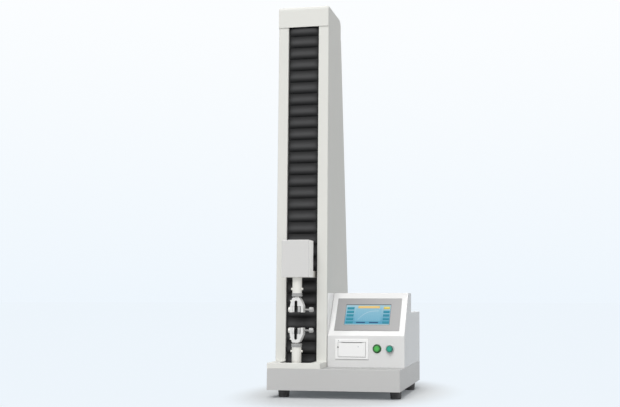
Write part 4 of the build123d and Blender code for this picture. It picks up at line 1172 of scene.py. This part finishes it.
class TESTER_OT_rear_panel(bpy.types.Operator):
    """Add the rear cover's screws, the console's screws, the inlet's pins and the rocker's marks"""

    bl_idname = "tester.rear_panel"
    bl_label = "Rear panel"

    head: length("Screw head", "Diameter of the cover screws' heads", 8 * MM)
    head_height: length("Head height", "Height of the heads", 2.5 * MM)

    def execute(self, context):
        pattern = pan_head("pan_head", self.head, self.head_height)
        tree = screw_tree(finishes["zinc_steel"])
        self.console_screws(tree, pattern)
        self.rear_cover_screws(tree, pattern, context.scene.tester_sizes.rear_screws)
        bpy.data.meshes.remove(take_mesh(pattern))
        self.inlet_pins()
        self.rocker_marks()
        return {"FINISHED"}

    def console_screws(self, tree, pattern):
        """The four screws of the console's rear box, with their shanks."""
        low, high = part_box("cover_screws")
        top, inset, shank = high.z - self.head_height, self.head / 2, 2 * MM
        made = []
        for x in (low.x + inset, high.x - inset):
            made.append(tree.grow("console_screw_row", {
                "Start": (x, low.y + inset, top), "Step": (0, high.y - low.y - self.head, 0), "Count": 2,
                "Facing": (0, 0, 1), "Head": pattern}))
        for x, y in corner_places(low, high, inset):
            shape = lathe([(0, 0), (shank, 0), (shank, top - low.z), (0, top - low.z)], 20)
            made.append(mesh_of(shape, "shank", Matrix.Translation((x, y, low.z))))
        piece("console_cover_screws", join(*made), "zinc_steel", "frame", ("cover_screws",))

    def rear_cover_screws(self, tree, pattern, count):
        """Screws down both sides of the sloping rear cover."""
        low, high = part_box("column_rear_cover")
        skin, edge, end = 2 * MM, 10 * MM, 0.03
        run = Vector((0, high.y - low.y - skin, low.z - high.z))
        outward = Vector((0, -run.z, run.y)).normalized()
        rows = []
        for x in (low.x + edge, high.x - edge):
            rows.append(tree.grow("rear_screw_row", {
                "Start": Vector((x, low.y + skin, high.z)) + run * end, "Count": count, "Facing": outward,
                "Step": run * ((1 - 2 * end) / (count - 1)), "Head": pattern}))
        piece("rear_cover_screws", join(*rows), "zinc_steel", "frame")

    def inlet_pins(self):
        """Plated blades over the inlet's three contacts."""
        socket = next(o for o in frame["record"]["physics"]["openings"] if o["name"] == "mains_socket")
        low, high = (Vector(corner) for corner in socket["box_m"])
        middle, floor = (low + high) / 2, low.y - 10.5 * MM
        half, rise = Vector((1.1 * MM, 0, 2.1 * MM)), Vector((0, 10.2 * MM, 0))
        spacing, bevel = 7 * MM, 0.25 * MM
        blades = []
        for step in (-1, 0, 1):
            foot = Vector((middle.x + step * spacing, floor, middle.z))
            blades.append(mesh_of(block(foot - half, foot + half + rise, bevel), "blade"))
        piece("inlet_blades", join(*blades), "bright_steel", "frame")

    def rocker_marks(self):
        """A ring and a bar on the rocker, as on any mains switch."""
        low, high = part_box("power_rocker")
        middle, half, lean = centre("power_rocker"), (high.z - low.z) / 2, radians(8)
        inner, outer, thick = 1.5 * MM, 2.2 * MM, 0.3 * MM
        bar = plate(1.0 * MM, 4.2 * MM, thick, 0.4 * MM)
        ring = lathe([(inner, 0), (outer, 0), (outer, thick), (inner, thick), (inner, 0)], 32)
        depth = high.y - half * 0.5 * sin(lean) - thick / 2
        marks = []
        for up, shape in ((1, bar), (-1, ring)):
            spot = (middle.x, depth, middle.z + up * half * 0.52)
            marks.append(mesh_of(shape, "mark", along((0, cos(lean), -up * sin(lean)), spot)))
        piece("rocker_marks", join(*marks), "paper_white", "rocker")


class TESTER_OT_feet(bpy.types.Operator):
    """Replace the rubber feet with ribbed ones round their screws"""

    bl_idname = "tester.feet"
    bl_label = "Feet"

    def execute(self, context):
        low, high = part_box("rubber_feet")
        tall, radius, tread = high.z - low.z, 20 * MM, 18 * MM
        hole, bore, recess = 4.05 * MM, 7.5 * MM, 10 * MM
        lip, edge, groove, half, brow, rim = (size * MM for size in (0.6, 1.5, 0.9, 0.8, 1.2, 0.8))
        profile = [(hole, recess), (bore, recess), (bore, lip), (bore + lip, 0), (tread - edge, 0),
                   (tread, edge)]
        for step in (0.30, 0.52, 0.74):
            level, wide = tall * step, tread + (radius - tread) * step
            profile += [(wide, level - 2 * half), (wide - groove, level - half), (wide - groove, level),
                        (wide, level + half)]
        profile += [(radius, tall - brow), (radius - rim, tall), (hole, tall), (hole, recess)]
        feet = [mesh_of(lathe(profile, 56), "foot", Matrix.Translation((x, y, low.z)))
                for x, y in corner_places(low, high, radius)]
        piece("ribbed_feet", join(*feet), "black_rubber", "frame", ("rubber_feet",))
        return {"FINISHED"}


class TESTER_OT_ball_screw(bpy.types.Operator):
    """Replace the plain ball screw with one that carries its helical groove"""

    bl_idname = "tester.ball_screw"
    bl_label = "Ball screw"

    def execute(self, context):
        low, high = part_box("ball_screw")
        outer, lower_journal, upper_journal = 12.5 * MM, 10 * MM, 8.5 * MM
        gap, land, clear = 0.3 * MM, 2.6 * MM, 0.5 * MM
        core, tall = outer - land, high.z - low.z
        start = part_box("lower_screw_bearing")[1].z + gap - low.z
        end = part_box("upper_screw_bearing")[0].z - gap - low.z
        profile = [(0, 0), (lower_journal, 0), (lower_journal, start), (core, start), (core, end),
                   (upper_journal, end), (upper_journal, tall), (0, tall)]
        mesh = mesh_of(lathe(profile, 40), "ball_screw_core")
        thread = thread_tree(finishes["bright_steel"]).grow("ball_screw_ridge", {
            "Radius": core, "Length": end - start - 2 * (land + clear), "Ridge": land, "Steps": 28,
            "Pitch": context.scene.tester_sizes.screw_lead})
        mesh = join(mesh, lifted(thread, start + land + clear))
        middle = centre("ball_screw")
        mesh.transform(Matrix.Translation((middle.x, middle.y, low.z)))
        piece("ball_screw_grooved", mesh, "bright_steel", "lead_screw", ("ball_screw",))
        return {"FINISHED"}


class TESTER_OT_stage(bpy.types.Operator):
    """Set the pale floor, the soft lamps, the background and the camera"""

    bl_idname = "tester.stage"
    bl_label = "Stage"

    def execute(self, context):
        settings = context.scene.tester_stage
        context.scene.view_settings.view_transform = "Standard"
        self.floor(settings)
        self.sky(context.scene, settings)
        self.lamp("key_lamp", (-0.04, -0.67, 0.74), radians(32), settings.key)
        self.lamp("fill_lamp", (0.85, -0.35, 0.40), radians(60), settings.fill)
        self.lamp("back_lamp", (0.10, 0.60, 0.80), radians(50), settings.back)
        data = bpy.data.cameras.new("camera")
        data.sensor_width = 36
        data.lens = settings.lens
        data.shift_x, data.shift_y = settings.shift
        data.clip_end = 200
        eye = bpy.data.objects.new("camera", data)
        eye.location = settings.eye
        eye.rotation_euler = (pi / 2 + settings.tilt, 0, settings.pan)
        context.scene.collection.objects.link(eye)
        context.scene.camera = eye
        return {"FINISHED"}

    def seen(self, nodes):
        """1 for rays that show the background: seen by the camera, in a mirror or through glass."""
        path = nodes.add("ShaderNodeLightPath", output="Is Camera Ray")
        straight = path.maths("MAXIMUM", path, path.part("Is Glossy Ray"))
        return path.maths("MAXIMUM", straight, path.part("Is Transmission Ray"))

    def floor(self, settings):
        """A wide pale floor that takes the object's shadow and meets the background in its own colour."""
        shape = bmesh.new()
        half_size, narrower = 60, (1.45, 1, 1)
        bmesh.ops.create_grid(shape, x_segments=8, y_segments=8, size=half_size)
        mesh = mesh_of(shape, "floor")
        paint = Finish("studio_floor")
        out = paint.vector("LENGTH", paint.vector("MULTIPLY", paint.place, narrower), output="Value")
        far = paint.add("ShaderNodeMapRange", {
            "Value": out, "From Min": 0.36, "From Max": 0.62, "To Min": 0.075, "To Max": 0.94},
            interpolation_type="SMOOTHSTEP")
        matt = paint.add("ShaderNodeBsdfDiffuse", {"Color": (*settings.floor, 1)})
        dim = paint.add("ShaderNodeBsdfDiffuse", {"Color": (0.53, 0.53, 0.525, 1)})
        glow = paint.add("ShaderNodeEmission", {"Color": (*settings.backdrop, 1), "Strength": 1.0})
        shown = paint.add("ShaderNodeMixShader", {0: far, 1: matt, 2: glow})
        surface = paint.add("ShaderNodeMixShader", {0: self.seen(paint), 1: dim, 2: shown})
        paint.add("ShaderNodeOutputMaterial", {"Surface": surface})
        mesh.materials.append(paint.material)
        floor = bpy.data.objects.new("floor", mesh)
        bpy.context.scene.collection.objects.link(floor)

    def sky(self, scene, settings):
        """Even white light, and a background that turns from pale blue to white with height."""
        world = bpy.data.worlds.new("studio")
        world.use_nodes = True
        scene.world = world
        nodes = Nodes(world.node_tree)
        world.node_tree.nodes.clear()
        view = nodes.add("ShaderNodeTexCoord", output="Generated")
        height = nodes.axes(view).part("Z")
        white = nodes.add("ShaderNodeMapRange", {
            "Value": height, "From Min": 0.0, "From Max": 0.30, "To Min": 0.0, "To Max": 1.0})
        tone = nodes.mix(white, settings.backdrop, (0.965, 0.985, 1.0))
        even = nodes.add("ShaderNodeBackground", {"Color": (1, 1, 1, 1), "Strength": settings.sky})
        shown = nodes.add("ShaderNodeBackground", {"Color": tone, "Strength": 1.0})
        both = nodes.add("ShaderNodeMixShader", {0: self.seen(nodes), 1: even, 2: shown})
        nodes.add("ShaderNodeOutputWorld", {"Surface": both})

    def lamp(self, name, toward, spread, strength, distance=4):
        """A broad soft lamp far off in one direction."""
        data = bpy.data.lights.new(name, "SUN")
        data.energy = strength
        data.angle = spread
        lamp = bpy.data.objects.new(name, data)
        lamp.location = Vector(toward) * distance
        lamp.rotation_mode = "QUATERNION"
        lamp.rotation_quaternion = Vector(toward).to_track_quat("Z", "Y")
        bpy.context.scene.collection.objects.link(lamp)


OPERATORS = (TESTER_OT_finishes, TESTER_OT_bellows, TESTER_OT_jaws, TESTER_OT_clamp_screws,
             TESTER_OT_lock_rings, TESTER_OT_screen, TESTER_OT_cheek, TESTER_OT_printer, TESTER_OT_buttons,
             TESTER_OT_rear_panel, TESTER_OT_feet, TESTER_OT_ball_screw, TESTER_OT_stage)


class TESTER_PT_sidebar(bpy.types.Panel):
    """Lists the steps that dress the machine"""

    bl_idname = "TESTER_PT_sidebar"
    bl_label = "Testing machine"
    bl_space_type = "VIEW_3D"
    bl_region_type = "UI"
    bl_category = "Tester"

    def draw(self, context):
        for step in OPERATORS:
            self.layout.operator(step.bl_idname)
        for group in ("tester_paint", "tester_sizes", "tester_stage"):
            settings = getattr(context.scene, group)
            for name in settings.__annotations__:
                self.layout.prop(settings, name)


GROUPS = {"tester_paint": TesterPaint, "tester_sizes": TesterSizes, "tester_stage": TesterStage}


def register():
    for made in (*GROUPS.values(), *OPERATORS, TESTER_PT_sidebar):
        bpy.utils.register_class(made)
    for name, group in GROUPS.items():
        setattr(bpy.types.Scene, name, PointerProperty(type=group))


def unregister():
    for name in GROUPS:
        delattr(bpy.types.Scene, name)
    for made in reversed((*GROUPS.values(), *OPERATORS, TESTER_PT_sidebar)):
        bpy.utils.unregister_class(made)


def main():
    register()
    for step in OPERATORS:
        group, name = step.bl_idname.split(".")
        getattr(getattr(bpy.ops, group), name)()


if __name__ == "__main__":
    main()
